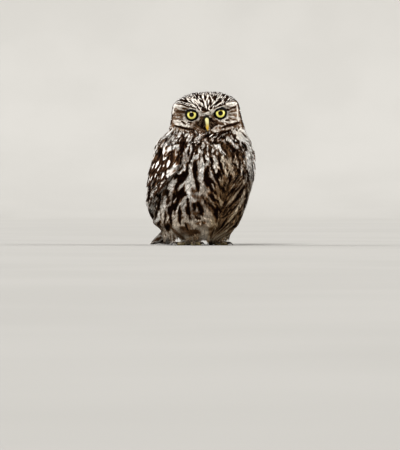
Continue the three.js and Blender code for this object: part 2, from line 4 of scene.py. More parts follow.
import bpy
import numpy as np
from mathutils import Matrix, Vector


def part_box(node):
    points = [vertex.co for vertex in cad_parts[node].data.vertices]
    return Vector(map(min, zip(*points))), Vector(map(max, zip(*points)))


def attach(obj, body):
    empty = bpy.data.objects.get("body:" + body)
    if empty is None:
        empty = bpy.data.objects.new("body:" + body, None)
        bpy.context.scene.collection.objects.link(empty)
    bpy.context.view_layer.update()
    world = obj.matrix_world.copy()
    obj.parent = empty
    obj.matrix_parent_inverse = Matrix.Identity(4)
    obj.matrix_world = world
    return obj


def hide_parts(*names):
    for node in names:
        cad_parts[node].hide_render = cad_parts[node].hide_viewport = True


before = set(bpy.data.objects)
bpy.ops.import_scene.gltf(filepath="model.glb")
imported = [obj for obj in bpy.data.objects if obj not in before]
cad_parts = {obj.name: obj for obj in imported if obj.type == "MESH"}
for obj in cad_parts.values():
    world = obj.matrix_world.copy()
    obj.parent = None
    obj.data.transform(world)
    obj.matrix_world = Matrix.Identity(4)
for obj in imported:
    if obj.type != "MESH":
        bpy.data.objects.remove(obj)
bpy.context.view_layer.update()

# The little owl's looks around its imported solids. Sizes are millimetres in the bird's own frame:
# the ground at 0, the body facing -Y, its left side at +X. make_piece turns them to metres.
MM = 0.001
METRE = 1000.0
DEGREE = math.pi / 180
seeded = np.random.default_rng

# Driving sizes, most of them the same as the solids'.
BELLY_BOTTOM = 13.0
COAT_TOP = 141.0
HEAD_PLACE = np.array([0.0, -5.0, 135.0])
HEAD_TURN = -28.0
HEAD_ROLL = -3.0
HEAD_PITCH = 3.0
HEAD_TOP = 179.05
EYE_RADIUS = 8.2
EYE_X = 16.0
EYE_Z = 154.6
EYE_FRONT_Y = -38.0
EYE_SPLAY = 6.0
LEG_X = 14.0
LEG_Y = 5.0
TAIL_ROOT = np.array([0.0, 46.0, 43.0])
TAIL_SWING = 5.0
TAIL_REACH = 62.0
TAIL_TIP_HEIGHT = 1.3
WING_TOP = 119.0
WING_TIP_Z = 22.0
COAT_DEPTH = 3.4
FACE_COAT_DEPTH = 2.0
BODY_SQUARENESS = 2.25
FACE_SQUARENESS = 2.55
NAPE_SQUARENESS = 2.1
LEG_SQUARENESS = 2.1
# The heights between which the body's section changes to the head's, a shallow cleft between the
# thighs, and the brow's ridge from its inner end outwards and up.
NECK_LOW = 117.0
NECK_HIGH = 138.0
CLEFT_TOP = 58.0
CLEFT_ANGLE = -27.0
CLEFT_DEPTH = 4.5
BROW_START = (4, 157.5)
BROW_REACH = (33, 10)

# shapes of the body


def table_reader(rows):
    """Reads a table of values by its first column: a cubic between rows, with each row's slope
    taken from its neighbours."""
    rows = np.array(rows, float)
    places, values = rows[:, 0], rows[:, 1:]
    slopes = np.gradient(values, places, axis=0)

    def read(place):
        place = np.clip(place, places[0], places[-1])
        i = np.clip(np.searchsorted(places, place, side="right") - 1, 0, len(places) - 2)
        span = (places[i + 1] - places[i])[..., None]
        t = (place - places[i])[..., None] / span
        start = (2 * t**3 - 3 * t**2 + 1) * values[i] + (t**3 - 2 * t**2 + t) * span * slopes[i]
        end = (3 * t**2 - 2 * t**3) * values[i + 1] + (t**3 - t**2) * span * slopes[i + 1]
        return start + end

    return read


# Level sections: height, half width, and how far they reach to the front and to the back.
torso_at = table_reader([
    [13, 14, -6, 20], [15, 28, -16, 36], [18, 37, -22.5, 48], [22, 42.5, -27.5, 58],
    [28, 46.5, -31.5, 66], [40, 51, -36.5, 68.5], [52, 54, -41, 65.5], [64, 55.6, -44.5, 61],
    [78, 56.2, -47.5, 55.5], [92, 55.8, -49, 49.5], [106, 55, -48.5, 44], [116, 54.2, -46.5, 39.5],
    [121, 53.5, -45, 37.5], [131, 49.5, -40, 35.5], [142, 45, -36, 34],
])
mantle_at = table_reader([
    [10, 17, 30, 86], [20, 31, 0, 83], [30, 45, -25, 79.5], [40, 53.5, -34, 75],
    [52, 58.4, -41, 70], [64, 60.2, -44, 65], [78, 60.8, -47, 59.5], [92, 60.2, -49, 53.5],
    [106, 59, -48.5, 47.5], [116, 57.8, -46.5, 43], [124, 54, -43, 39], [142, 45, -36, 34],
])
head_at = table_reader([
    [120, 46, 30, 38], [128, 45.5, 32.5, 38.5], [136, 44, 35, 38.5], [144, 42, 36, 38],
    [152, 40.3, 36, 36.5], [160, 39.2, 34.5, 33.5], [165, 37.6, 32, 31], [169.5, 34, 28, 27.5],
    [173.5, 28, 22.5, 22.5], [176.7, 20, 15.5, 16], [178.6, 9, 7, 8], [HEAD_TOP, 0.5, 0.5, 0.5],
])
leg_at = table_reader([
    [4, 4.2, -4.6, 5], [5.6, 5.4, -6.5, 6.8], [7.6, 8.8, -11, 11],
    [11, 12, -16, 16.5], [16, 13.6, -19, 20.5], [24, 13.6, -18, 21],
])
# The folded wing's front and hind edges: angles round the body by the share of the way down it.
leading_edge = table_reader(
    [[0, 82], [0.05, 70], [0.14, 63], [0.3, 64], [0.5, 72], [0.7, 92], [0.85, 122], [1, 158]])
inner_edge = table_reader(
    [[0, 102], [0.12, 126], [0.3, 146], [0.5, 158], [0.7, 166], [0.85, 170], [1, 173]])


def smooth(t):
    """0 below 0, 1 above 1, and a smooth rise between."""
    t = np.clip(t, 0, 1)
    return t * t * (3 - 2 * t)


def hump(away, width):
    """1 in the middle, falling off smoothly to both sides."""
    return np.exp(-((away / width) ** 2))


def mix(a, b, share):
    """The value at a share of the way from a to b."""
    return a + (b - a) * share


def signed_power(value, power):
    """A power of the value's size, with the value's sign."""
    return np.sign(value) * np.abs(value) ** power


def unit(vectors):
    """Vectors divided by their lengths."""
    return vectors / np.maximum(np.linalg.norm(vectors, axis=-1, keepdims=True), 1e-9)


def level_with(out, lie):
    """A lie made square to the outward direction."""
    return unit(lie - out * (lie * out).sum(-1, keepdims=True))


def turned(lie, side, turn):
    """A lie turned towards its side by an angle for each."""
    return unit(lie * np.cos(turn)[:, None] + side * np.sin(turn)[:, None])


def wing_front(z):
    """The angle round the body of the folded wing's front edge at a height."""
    return leading_edge(np.clip((WING_TOP - z) / (WING_TOP - WING_TIP_Z), 0, 1))[..., 0]


def coat_row(angle, z):
    """The coat's level section at each place: the torso's, or the mantle's under the wing."""
    wing_share = smooth((np.abs(angle) - wing_front(z) - 3) / 12)
    return mix(torso_at(z), mantle_at(z), wing_share[..., None])


def section_place(row, angle, z, squareness):
    """A point of a level superellipse; the angle in degrees runs from the front round by the
    bird's left: x is the half width times sin, y the depth times cos, each to the power
    2 / squareness."""
    turn = angle * DEGREE
    p = 2 / squareness
    x = row[..., 0] * signed_power(np.sin(turn), p)
    middle = (row[..., 1] + row[..., 2]) / 2
    y = middle - (row[..., 2] - row[..., 1]) / 2 * signed_power(np.cos(turn), p)
    return np.stack(np.broadcast_arrays(x, y, z), -1)


def section_angle(row, points, squareness):
    """The angle in degrees at which a point lies on its level superellipse."""
    middle = (row[..., 1] + row[..., 2]) / 2
    depth = (row[..., 2] - row[..., 1]) / 2
    x = signed_power(points[..., 0] / row[..., 0], squareness / 2)
    y = signed_power((middle - points[..., 1]) / depth, squareness / 2)
    return np.arctan2(x, y) / DEGREE


def level_turn(angle):
    """The matrix of a turn by an angle in degrees about the upright."""
    c, s = math.cos(angle * DEGREE), math.sin(angle * DEGREE)
    return np.array([[c, -s, 0], [s, c, 0], [0, 0, 1]])


def head_turn_matrix():
    """The head's turn, roll and pitch on the neck, applied pitch first."""
    c, s = np.cos, np.sin
    p, r = HEAD_PITCH * DEGREE, HEAD_ROLL * DEGREE
    pitch = np.array([[1, 0, 0], [0, c(p), -s(p)], [0, s(p), c(p)]])
    roll = np.array([[c(r), 0, s(r)], [0, 1, 0], [-s(r), 0, c(r)]])
    return level_turn(HEAD_TURN) @ roll @ pitch


HEAD_MATRIX = head_turn_matrix()
HEAD_PIVOT = np.array([0.0, 0.0, HEAD_PLACE[2]])


def from_head(points):
    """The head's own frame, with its axis at x = y = 0, to the bird's frame."""
    return (points - HEAD_PIVOT) @ HEAD_MATRIX.T + HEAD_PLACE


def to_head(points):
    """The bird's frame to the head's own frame."""
    return (points - HEAD_PLACE) @ HEAD_MATRIX + HEAD_PIVOT


def in_head(points):
    """From the bird's straight-ahead frame, before its head turns, to the bird's frame."""
    return from_head(points - np.array([0, HEAD_PLACE[1], 0]))


def face_relief(x, z):
    """How far the face stands out: a dish about each eye, less a ridge along each brow line and a
    low rim at a fixed distance below the eye."""
    side = np.abs(x)
    from_eye = np.hypot(side - EYE_X, (z - EYE_Z) * 1.05)
    dish = -4.4 * smooth((20 - from_eye) / 15)
    (x0, z0), (dx, dz) = BROW_START, BROW_REACH
    along = np.clip(((side - x0) * dx + (z - z0) * dz) / (dx**2 + dz**2), 0, 1)
    brow = 3.4 * hump(np.hypot(side - x0 - along * dx, z - z0 - along * dz), 3.6)
    return dish + brow + 2.2 * smooth((EYE_Z - z) / 12) * hump(from_eye - 23.5, 3)


def head_place(angle, z):
    """A point of the head in its own frame by angle and height: its superellipse, squarer in
    front, with the face's relief."""
    row = head_at(z) * np.array([1, -1, 1])
    ahead = smooth((np.cos(angle * DEGREE) + 0.2) / 0.6)
    points = section_place(row, angle, z, mix(NAPE_SQUARENESS, FACE_SQUARENESS, ahead))
    facing = smooth((np.cos(angle * DEGREE) - 0.05) / 0.5)
    points[..., 1] -= facing * face_relief(points[..., 0], z)
    return points


def inside_head(points):
    """Below 1 inside the head and above 1 outside, in the head's own frame."""
    x, y, z = points[..., 0], points[..., 1], points[..., 2]
    row = head_at(np.minimum(z, HEAD_TOP))
    forward = -y / np.maximum(np.hypot(x, y), 1e-6)
    y = y + smooth((forward - 0.05) / 0.5) * face_relief(x, z)
    middle = (row[..., 2] - row[..., 1]) / 2
    depth = (row[..., 2] + row[..., 1]) / 2
    n = mix(NAPE_SQUARENESS, FACE_SQUARENESS, smooth((forward + 0.2) / 0.6))
    level = np.abs(x / row[..., 0]) ** n + np.abs((y - middle) / depth) ** n
    return np.where(z > HEAD_TOP, 2.0, level)


HEAD_MIDDLE = np.array([0.0, 0.0, 150.0])
LONGITUDES = 361
LATITUDES = 181


def ray_at(longitude, latitude):
    """A direction by the way round from straight ahead and the way up."""
    flat = np.cos(latitude)
    return np.stack([np.sin(longitude) * flat, -np.cos(longitude) * flat, np.sin(latitude)], -1)


def head_distances():
    """How far the head's surface is from its middle in each direction, found by halving."""
    longitude = np.linspace(-math.pi, math.pi, LONGITUDES)
    latitude = np.linspace(-math.pi / 2, math.pi / 2, LATITUDES)
    ray = ray_at(*np.meshgrid(longitude, latitude, indexing="ij"))
    low, high = np.full(ray.shape[:2], 4.0), np.full(ray.shape[:2], 75.0)
    for _ in range(22):
        half = (low + high) / 2
        inside = inside_head(HEAD_MIDDLE + ray * half[..., None]) < 1
        low, high = np.where(inside, half, low), np.where(inside, high, half)
    return low


HEAD_DISTANCES = head_distances()


def on_head(ray):
    """The places on the head's surface along unit rays from its middle, read between the
    directions kept."""
    longitude = np.arctan2(ray[..., 0], -ray[..., 1])
    latitude = np.arcsin(np.clip(ray[..., 2], -1, 1))
    i = (longitude / (2 * math.pi) + 0.5) * (LONGITUDES - 1)
    j = (latitude / math.pi + 0.5) * (LATITUDES - 1)
    i0 = np.clip(i.astype(int), 0, LONGITUDES - 2)
    j0 = np.clip(j.astype(int), 0, LATITUDES - 2)
    d = HEAD_DISTANCES
    low = mix(d[i0, j0], d[i0 + 1, j0], i - i0)
    high = mix(d[i0, j0 + 1], d[i0 + 1, j0 + 1], i - i0)
    return HEAD_MIDDLE + ray * mix(low, high, j - j0)[..., None]


def coat_place(angle, z):
    """A point of the body's coat: its level section, a shallow cleft low in front, and above the
    shoulders a smooth change to the turned head's section at the same height."""
    points = section_place(coat_row(angle, z), angle, z, BODY_SQUARENESS)
    from_cleft = (angle - CLEFT_ANGLE + 180) % 360 - 180
    points[..., 1] += CLEFT_DEPTH * smooth((CLEFT_TOP - z) / 30) * hump(from_cleft, 14)
    head = from_head(head_place(angle - HEAD_TURN, z))
    joined = mix(points, head, smooth((z - NECK_LOW) / (NECK_HIGH - NECK_LOW))[..., None])
    joined[..., 2] = z
    return joined


def coat_normal(angle, z):
    """The coat's outward direction, from small steps round it and up it."""
    round_it = coat_place(angle + 0.5, z) - coat_place(angle - 0.5, z)
    up_it = coat_place(angle, z + 0.4) - coat_place(angle, z - 0.4)
    return unit(np.cross(round_it, up_it))


def body_angle(points):
    """The angle round the coat at which points near it lie."""
    z = np.clip(points[..., 2], BELLY_BOTTOM + 0.5, COAT_TOP)
    angle = section_angle(torso_at(z), points, BODY_SQUARENESS)
    for _ in range(2):
        angle = section_angle(coat_row(angle, z), points, BODY_SQUARENESS)
    return angle


def settle_on_body(points):
    """Moves points near the body level onto its coat, each at its own angle."""
    z = np.clip(points[..., 2], BELLY_BOTTOM + 0.5, COAT_TOP)
    settled = coat_place(body_angle(points), z)
    settled[..., 2] = points[..., 2]
    return settled


def settle_on_mantle(points):
    """Moves points level onto the surface that the folded wings lie on."""
    z = points[..., 2]
    row = mantle_at(z)
    return section_place(row, section_angle(row, points, BODY_SQUARENESS), z, BODY_SQUARENESS)


def settle_on_head(points):
    """Moves points near the head onto its surface along the ray from its middle."""
    return from_head(on_head(unit(to_head(points) - HEAD_MIDDLE)))


def ripples(points, size, seed):
    """A soft unevenness between about -1 and 1: a sum of waves in seeded directions, each of
    about the given length."""
    rng = seeded(seed)
    total = 0
    for _ in range(6):
        wave = rng.normal(size=3)
        wave *= 2 * math.pi / size / np.linalg.norm(wave) * rng.uniform(0.6, 1.5)
        total = total + np.sin(points @ wave + rng.uniform(0, 2 * math.pi))
    return total / 3.2


# vanes and pieces

MARK_NAMES = ["ground", "ink", "streak", "spot", "bars", "tint", "buff"]


def ring_faces(rings, around, loop=False):
    """Faces through rings of corners, as corner numbers and sizes: four-sided between the rings,
    with one face over each end or, in a loop, on from the last ring to the first."""
    steps = rings if loop else rings - 1
    i, j = np.meshgrid(np.arange(steps), np.arange(around), indexing="ij")
    near, far, over = i * around, (i + 1) % rings * around, (j + 1) % around
    sides = np.stack([near + j, near + over, far + over, far + j], -1).ravel()
    sizes = np.full(steps * around, 4)
    if loop:
        return sides, sizes
    ends = [np.arange(around)[::-1], np.arange(around) + (rings - 1) * around]
    return np.concatenate([sides, *ends]), np.r_[sizes, around, around]


def vane_shape(columns, rows):
    """One vane's corners and faces: at each step along, columns corners over the top from edge to
    edge and one under the middle, with both ends closed."""
    u = np.tile(np.r_[np.linspace(-1, 1, columns), 0.0], rows + 1)
    v = np.repeat(np.linspace(0, 1, rows + 1), columns + 1)
    top = np.tile(np.r_[np.ones(columns), 0.0], rows + 1)
    return u, v, top, *ring_faces(rows + 1, columns + 1)


VANE = vane_shape(5, 5)
BARB = vane_shape(2, 3)
BRISTLE = vane_shape(2, 6)
FLIGHT = vane_shape(7, 12)
WHOLE_VANE = (0.5, 0, 1, 1)


def vane_batch(shape, points, bake, marks, window=WHOLE_VANE):
    """Vanes of one shape as joined arrays. points has a row for each vane; bake is each vane's
    place on the unwrap; marks are values for each vane or for each corner; the window is the
    part of a whole feather that a vane shows: its middle, its start, its width and its length."""
    u, v, _, loops, sizes = shape
    count, corners = points.shape[:2]
    spread = np.stack([u * 0.0015, (v - 0.5) * 0.003], -1)
    middle, start, wide, long = (np.reshape(part, (-1, 1)) for part in window)
    uv = np.stack([middle + u * 0.5 * wide, start + v * long], -1)
    kept = {}
    for name in MARK_NAMES:
        value = np.asarray(marks.get(name, 0.0), float)
        value = value[:, None] if value.ndim == 1 else value
        kept[name] = np.broadcast_to(value, (count, corners)).ravel()
    return {
        "points": points.reshape(-1, 3),
        "loops": (loops[None, :] + (np.arange(count) * corners)[:, None]).ravel(),
        "sizes": np.tile(sizes, count),
        "uv": np.broadcast_to(uv, (count, corners, 2)).reshape(-1, 2),
        "bake": (bake[:, None, :] + spread[None]).reshape(-1, 2),
        "marks": kept,
    }


def grow(shape, settle, bed, marks, length, width, rise, seed, ragged=0.06, down=False,
         camber=0.35, thickness=0.25, stray=0.0, window=WHOLE_VANE, paint=None):
    """Vanes laid on a coat. The bed is each vane's root, outward direction, lie and unwrap place.
    A vane runs from its root along its lie and out to its sides, is settled on the coat, and
    stands off it by the rise, which goes from the first value at the root to the second at the
    tip. Its half width swells and closes like a feather's, or narrows from the root as down does;
    its tip is round and a little ragged; its edges droop by the camber; it bends aside by the
    stray. The paint gives its marks by place."""
    root, out, lie, bake = bed
    u, v, top = shape[:3]
    rng = seeded(seed)
    count = len(root)
    length, width, low, high = (
        np.broadcast_to(np.asarray(value, float), (count,))[:, None]
        for value in (length, width, *rise)
    )
    ring = int((v == 0).sum())
    fringe = 1 + rng.uniform(-ragged, ragged * 0.6, (count, ring))
    fringe[:, -1] = 1 - ragged * 0.5
    if down:
        spread = (1 - 0.8 * v**2) * (0.75 + 0.5 * v * (1 - v))
        rounding = 1
    else:
        spread = (0.4 + 0.6 * np.sin(math.pi * np.clip(v * 0.72 + 0.08, 0, 1))) * (1 - 0.3 * v**6)
        rounding = 1 - 0.2 * u**2 * v
    along = v * rounding * np.tile(fringe, (1, len(v) // ring)) * length
    across = u * spread * 0.5 * width + rng.normal(0, 1, count)[:, None] * stray * v**2 * length
    side = np.cross(out, lie)
    place = root[:, None] + lie[:, None] * along[..., None] + side[:, None] * across[..., None]
    body = thickness * (1 - 0.75 * v)
    height = mix(low, high, v**0.8) - camber * u**2 * np.minimum(1, width / 6)
    height = height + np.where(top > 0, body * (1 - u**2) * 0.5, -body * 0.5)
    points = settle(place) + out[:, None] * height[..., None]
    if paint is not None:
        marks = {**marks, **paint(points)}
    return vane_batch(shape, points, bake, marks, window)


def joined_arrays(batches):
    """Several batches as one set of arrays, with the corner numbers moved on."""
    offsets = np.cumsum([0] + [len(b["points"]) for b in batches[:-1]])
    keys = ("points", "sizes", "uv", "bake")
    joined = {key: np.concatenate([b[key] for b in batches]) for key in keys}
    joined["loops"] = np.concatenate([b["loops"] + o for b, o in zip(batches, offsets)])
    names = batches[0]["marks"]
    joined["marks"] = {n: np.concatenate([b["marks"][n] for b in batches]) for n in names}
    return joined


def stand_back():
    """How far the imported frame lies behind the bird's own, from the middles of the eyeballs."""
    middles = []
    for side, name in [(1, "eye_left"), (-1, "eye_right")]:
        low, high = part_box(name)
        own = in_head(np.array([side * EYE_X, EYE_FRONT_Y + EYE_RADIUS, EYE_Z]))
        middles.append((low[1] + high[1]) / 2 / MM - own[1])
    return sum(middles) / 2


BACK = stand_back()


def linked(name, data):
    """A new object in the scene, of a mesh, a lamp or a camera."""
    made = bpy.data.objects.new(name, data)
    bpy.context.scene.collection.objects.link(made)
    return made


def make_piece(name, shape, material, stands_for=(), stage=False):
    """A mesh object from arrays of points, corner numbers and face sizes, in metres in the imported
    frame, with its faces turned outwards by the sign of its volume."""
    points = (shape["points"] + np.array([0, BACK, 0])) * MM
    loops, sizes = shape["loops"], shape["sizes"]
    starts = np.cumsum(sizes) - sizes
    first = np.repeat(loops[starts], sizes)
    following = np.roll(loops, -1)
    following[starts + sizes - 1] = loops[starts]
    corners = points - points.mean(0)
    if np.einsum("ij,ij->", corners[first], np.cross(corners[loops], corners[following])) < 0:
        loops = loops[np.repeat(2 * starts + sizes - 1, sizes) - np.arange(len(loops))]
    mesh = bpy.data.meshes.new(name)
    mesh.vertices.add(len(points))
    mesh.vertices.foreach_set("co", points.astype(np.float32).ravel())
    mesh.loops.add(len(loops))
    mesh.loops.foreach_set("vertex_index", loops.astype(np.int32))
    mesh.polygons.add(len(sizes))
    mesh.polygons.foreach_set("loop_start", starts.astype(np.int32))
    mesh.update(calc_edges=True)
    if not stage:
        for layer, key in [("Surface", "uv"), ("OFBake", "bake")]:
            made = mesh.uv_layers.new(name=layer)
            made.data.foreach_set("uv", shape[key][loops].astype(np.float32).ravel())
    for key, values in shape["marks"].items():
        made = mesh.attributes.new(key, "FLOAT", "POINT")
        made.data.foreach_set("value", values.astype(np.float32))
    mesh.polygons.foreach_set("use_smooth", np.full(len(sizes), True))
    mesh.materials.append(material)
    piece = linked(name, mesh)
    if stage:
        return
    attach(piece, "root")
    if stands_for:
        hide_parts(*stands_for)


def closed_rings(points, uv=None, loop=False):
    """A closed surface through rings of points: one flat face closes each end, or the last ring
    joins the first."""
    rings, around = points.shape[:2]
    if uv is None:
        shares = np.linspace(0, 1, rings), np.linspace(0, 1, around)
        uv = np.stack(np.meshgrid(*shares, indexing="ij"), -1)
    loops, sizes = ring_faces(rings, around, loop)
    uv = uv.reshape(-1, 2)
    return {"points": points.reshape(-1, 3), "loops": loops, "sizes": sizes,
            "uv": uv, "bake": uv, "marks": {}}


def bezier(points, t):
    """A Bezier line of any order by its control points, at shares t of its length."""
    points = [np.array(p, float)[None, :] for p in points]
    while len(points) > 1:
        points = [mix(a, b, t[:, None]) for a, b in zip(points[:-1], points[1:])]
    return points[0]


def tube(line, half_across, half_up, around=20, squareness=2.0):
    """A tube along a line near the plane x = 0: at each point an ellipse of the given half sizes,
    across and square to the line."""
    ahead = unit(np.gradient(line, axis=0))
    across = unit(np.array([1.0, 0, 0]) - ahead * ahead[:, :1])
    up = np.cross(ahead, across)
    turn = np.linspace(0, 2 * math.pi, around, endpoint=False)
    c = half_across[:, None] * signed_power(np.cos(turn), 2 / squareness)
    s = half_up[:, None] * signed_power(np.sin(turn), 2 / squareness)
    return line[:, None] + across[:, None] * c[..., None] + up[:, None] * s[..., None]


# finishes


def fill(tree, sockets, values):
    """Fills sockets: another node's output is linked, and any other value is set."""
    for key, value in dict(values).items():
        if isinstance(value, bpy.types.NodeSocket):
            tree.links.new(value, sockets[key])
        else:
            sockets[key].default_value = value


def node(tree, kind, values=(), **settings):
    """A shader node with its settings made and its sockets filled."""
    made = tree.nodes.new(kind)
    for key, value in settings.items():
        setattr(made, key, value)
    fill(tree, made.inputs, values)
    return made


def reckon(tree, operation, *values):
    """A math node's result."""
    return node(tree, "ShaderNodeMath", dict(enumerate(values)), operation=operation).outputs[0]


def noise_at(tree, place, scale, detail):
    """A noise's value."""
    values = {"Vector": place, "Scale": scale, "Detail": detail}
    return node(tree, "ShaderNodeTexNoise", values).outputs["Fac"]


def ramp_between(tree, value, low, high):
    """0 at low, 1 at high, level beyond them and a smooth rise between."""
    values = {"Value": value, "From Min": low, "From Max": high}
    return node(tree, "ShaderNodeMapRange", values, interpolation_type="SMOOTHSTEP").outputs[0]


def blend(tree, share, a, b):
    """A mix of two colours."""
    return node(tree, "ShaderNodeMix", {0: share, 6: a, 7: b}, data_type="RGBA").outputs[2]


def object_place(tree):
    """A point's place in the scene."""
    return node(tree, "ShaderNodeTexCoord").outputs["Object"]


def surface_place(tree):
    """A point's place on its vane or its tube."""
    return node(tree, "ShaderNodeUVMap", uv_map="Surface").outputs[0]


def colour(red, green, blue):
    """A shader colour from the three shares of 255 that a screen shows."""
    shares = [v / 255 for v in (red, green, blue)]
    return tuple(v / 12.92 if v < 0.04 else ((v + 0.055) / 1.055) ** 2.4 for v in shares) + (1.0,)


def new_group(name, inputs, outputs):
    """A shader node group, with what it is given and what it puts out."""
    group = bpy.data.node_groups.new(name, "ShaderNodeTree")
    for label, kind, value in inputs:
        socket = group.interface.new_socket(name=label, in_out="INPUT", socket_type="NodeSocket" + kind)
        socket.default_value = value
    for label, kind in outputs:
        group.interface.new_socket(name=label, in_out="OUTPUT", socket_type="NodeSocket" + kind)
    return group, group.nodes.new("NodeGroupInput").outputs, group.nodes.new("NodeGroupOutput").inputs


def plumage_marks_group():
    """One vane's marks. The ground tone goes from 0, darkest, to 1, palest. A streak along the
    shaft, a round spot near the tip and bars across are drawn over it in the ink tone, with
    uneven edges. The tint makes a whole vane lighter or darker, and fine barbs run out slantwise
    from the shaft. Each vane is also darker towards its root: partly the dark down at a feather's
    base, partly painted shade under the feathers that overlap it."""
    group, given, result = new_group(
        "plumage_marks",
        [
            ("Place", "Vector", (0, 0, 0)),
            ("Ground", "Float", 0.5),
            *((name, "Float", 0.0) for name in ("Ink", "Streak", "Spot", "Bars", "Tint", "Buff")),
            ("Dark", "Color", colour(26, 9, 3)),
            ("Middle", "Color", colour(112, 84, 60)),
            ("Pale", "Color", colour(250, 247, 242)),
            ("Buff Middle", "Color", colour(116, 88, 58)),
            ("Buff Pale", "Color", colour(218, 198, 168)),
        ],
        [("Color", "Color"), ("Height", "Float"), ("Roughness", "Float")],
    )
    operations = "ADD SUBTRACT MULTIPLY DIVIDE MAXIMUM ABSOLUTE SQRT SINE MULTIPLY_ADD".split()
    add, less, times, over, most, size, root, sine, times_add = (
        partial(reckon, group, operation) for operation in operations)
    ramp = partial(ramp_between, group)
    place = node(group, "ShaderNodeSeparateXYZ", {0: given["Place"]}).outputs
    noise = noise_at(group, object_place(group), 420.0, 2.0)
    wobble = times(less(noise, 0.5), 0.9)
    u = times_add(place[0], 2.0, -1.0)
    side = size(add(u, times(wobble, 0.5)))
    v = add(place[1], times(wobble, 0.12))
    narrowing = less(1.0, ramp(v, 0.84, 1.04))
    streak_width = times(given["Streak"], times_add(narrowing, 0.75, 0.25))
    streak = ramp(less(streak_width, side), -0.1, 0.1)
    down, out = over(less(v, 0.74), 0.3), over(side, 0.46)
    far = root(add(times(down, down), times(out, out)))
    spot = ramp(less(given["Spot"], far), -0.25, 0.2)
    bars = times(ramp(sine(times_add(v, 30.0, times(side, -1.6))), 0.25, 0.75), given["Bars"])
    mark = most(most(streak, spot), bars)
    tone = add(given["Ground"], times(mark, less(given["Ink"], given["Ground"])))
    hair_place = {0: times(place[0], 9.0), 1: times(place[1], 1.3), 2: times(given["Tint"], 40.0)}
    hair_place = node(group, "ShaderNodeCombineXYZ", hair_place).outputs[0]
    hairs = less(noise_at(group, hair_place, 1.5, 2.0), 0.5)
    tone = add(tone, times(add(wobble, hairs), 0.16))
    middle = blend(group, given["Buff"], given["Middle"], given["Buff Middle"])
    pale = blend(group, given["Buff"], given["Pale"], given["Buff Pale"])
    shade = blend(group, ramp(tone, 0.1, 0.52), given["Dark"], middle)
    shade = blend(group, ramp(tone, 0.48, 0.94), shade, pale)
    barbs = sine(times(add(times(place[1], 2.2), times(size(u), -0.5)), 60.0))
    # Darker towards the root: partly the dark down at a feather's base, partly painted shade under the
    # overlapping feathers.
    lightness = times_add(ramp(place[1], 0.15, 0.85), 0.35, 0.68)
    lightness = times_add(barbs, 0.05, times_add(given["Tint"], 0.3, lightness))
    toned = node(group, "ShaderNodeVectorMath", {0: shade, "Scale": lightness}, operation="SCALE")
    fill(group, result, {
        "Color": toned.outputs[0],
        "Height": add(times(barbs, 0.4), ramp(size(u), 0.12, 0.0)),
        "Roughness": times_add(noise, 0.15, 0.72),
    })
    return group


def new_material(name):
    """A material, its node tree and its shader's sockets."""
    material = bpy.data.materials.new(name)
    material.use_nodes = True
    tree = material.node_tree
    return material, tree, tree.nodes["Principled BSDF"].inputs


def bumped(tree, height, strength):
    """The direction of a surface with a fine height's bumps."""
    values = {"Height": height, "Strength": strength, "Distance": 0.0002}
    return node(tree, "ShaderNodeBump", values).outputs[0]


def plumage():
    """The feathers' finish: the marks group on the vanes' own places and values."""
    material, tree, shader = new_material("coat_plumage")
    values = {"Place": surface_place(tree)}
    for key in MARK_NAMES:
        values[key.title()] = node(tree, "ShaderNodeAttribute", attribute_name=key).outputs["Fac"]
    marks = node(tree, "ShaderNodeGroup", values, node_tree=plumage_marks_group()).outputs
    fill(tree, shader, {
        "Base Color": marks["Color"],
        "Roughness": marks["Roughness"],
        "Normal": bumped(tree, marks["Height"], 0.25),
        "Specular IOR Level": 0.06,
    })
    return material


def plain_finish(name, shade, second, roughness, scale, bump=0.2, shine=0.4):
    """A horn, skin or floor finish: two shades mixed by a fine unevenness that also gives bump."""
    material, tree, shader = new_material(name)
    grain = noise_at(tree, object_place(tree), scale, 3.0)
    fill(tree, shader, {
        "Base Color": blend(tree, ramp_between(tree, grain, 0.35, 0.65), colour(*shade), colour(*second)),
        "Normal": bumped(tree, grain, bump),
        "Roughness": roughness,
        "Specular IOR Level": shine,
    })
    return material


def bill_finish():
    """The bill's horn: a pale greenish ridge and sides darkened as painted shade, by the way round it,
    which is the surface place's second part, and yellow towards the tip by the first."""
    material = plain_finish("bill_horn", (176, 170, 118), (196, 190, 138), 0.38, 180.0)
    tree = material.node_tree
    shader = tree.nodes["Principled BSDF"].inputs
    less = partial(reckon, tree, "SUBTRACT")
    place = node(tree, "ShaderNodeSeparateXYZ", {0: surface_place(tree)}).outputs
    from_ridge = reckon(tree, "ABSOLUTE", less(place[1], 0.25))
    from_ridge = reckon(tree, "MINIMUM", from_ridge, less(1.0, from_ridge))
    tip = ramp_between(tree, place[0], 0.62, 0.86)
    base = blend(tree, tip, shader["Base Color"].links[0].from_socket, colour(214, 176, 62))
    # The sides' painted shade: darker away from the ridge, fading towards the tip.
    fade = less(1.0, reckon(tree, "MULTIPLY", tip, 0.8))
    side = reckon(tree, "MULTIPLY", ramp_between(tree, from_ridge, 0.14, 0.22), fade)
    fill(tree, shader, {"Base Color": blend(tree, side, base, colour(58, 48, 28))})
    return material


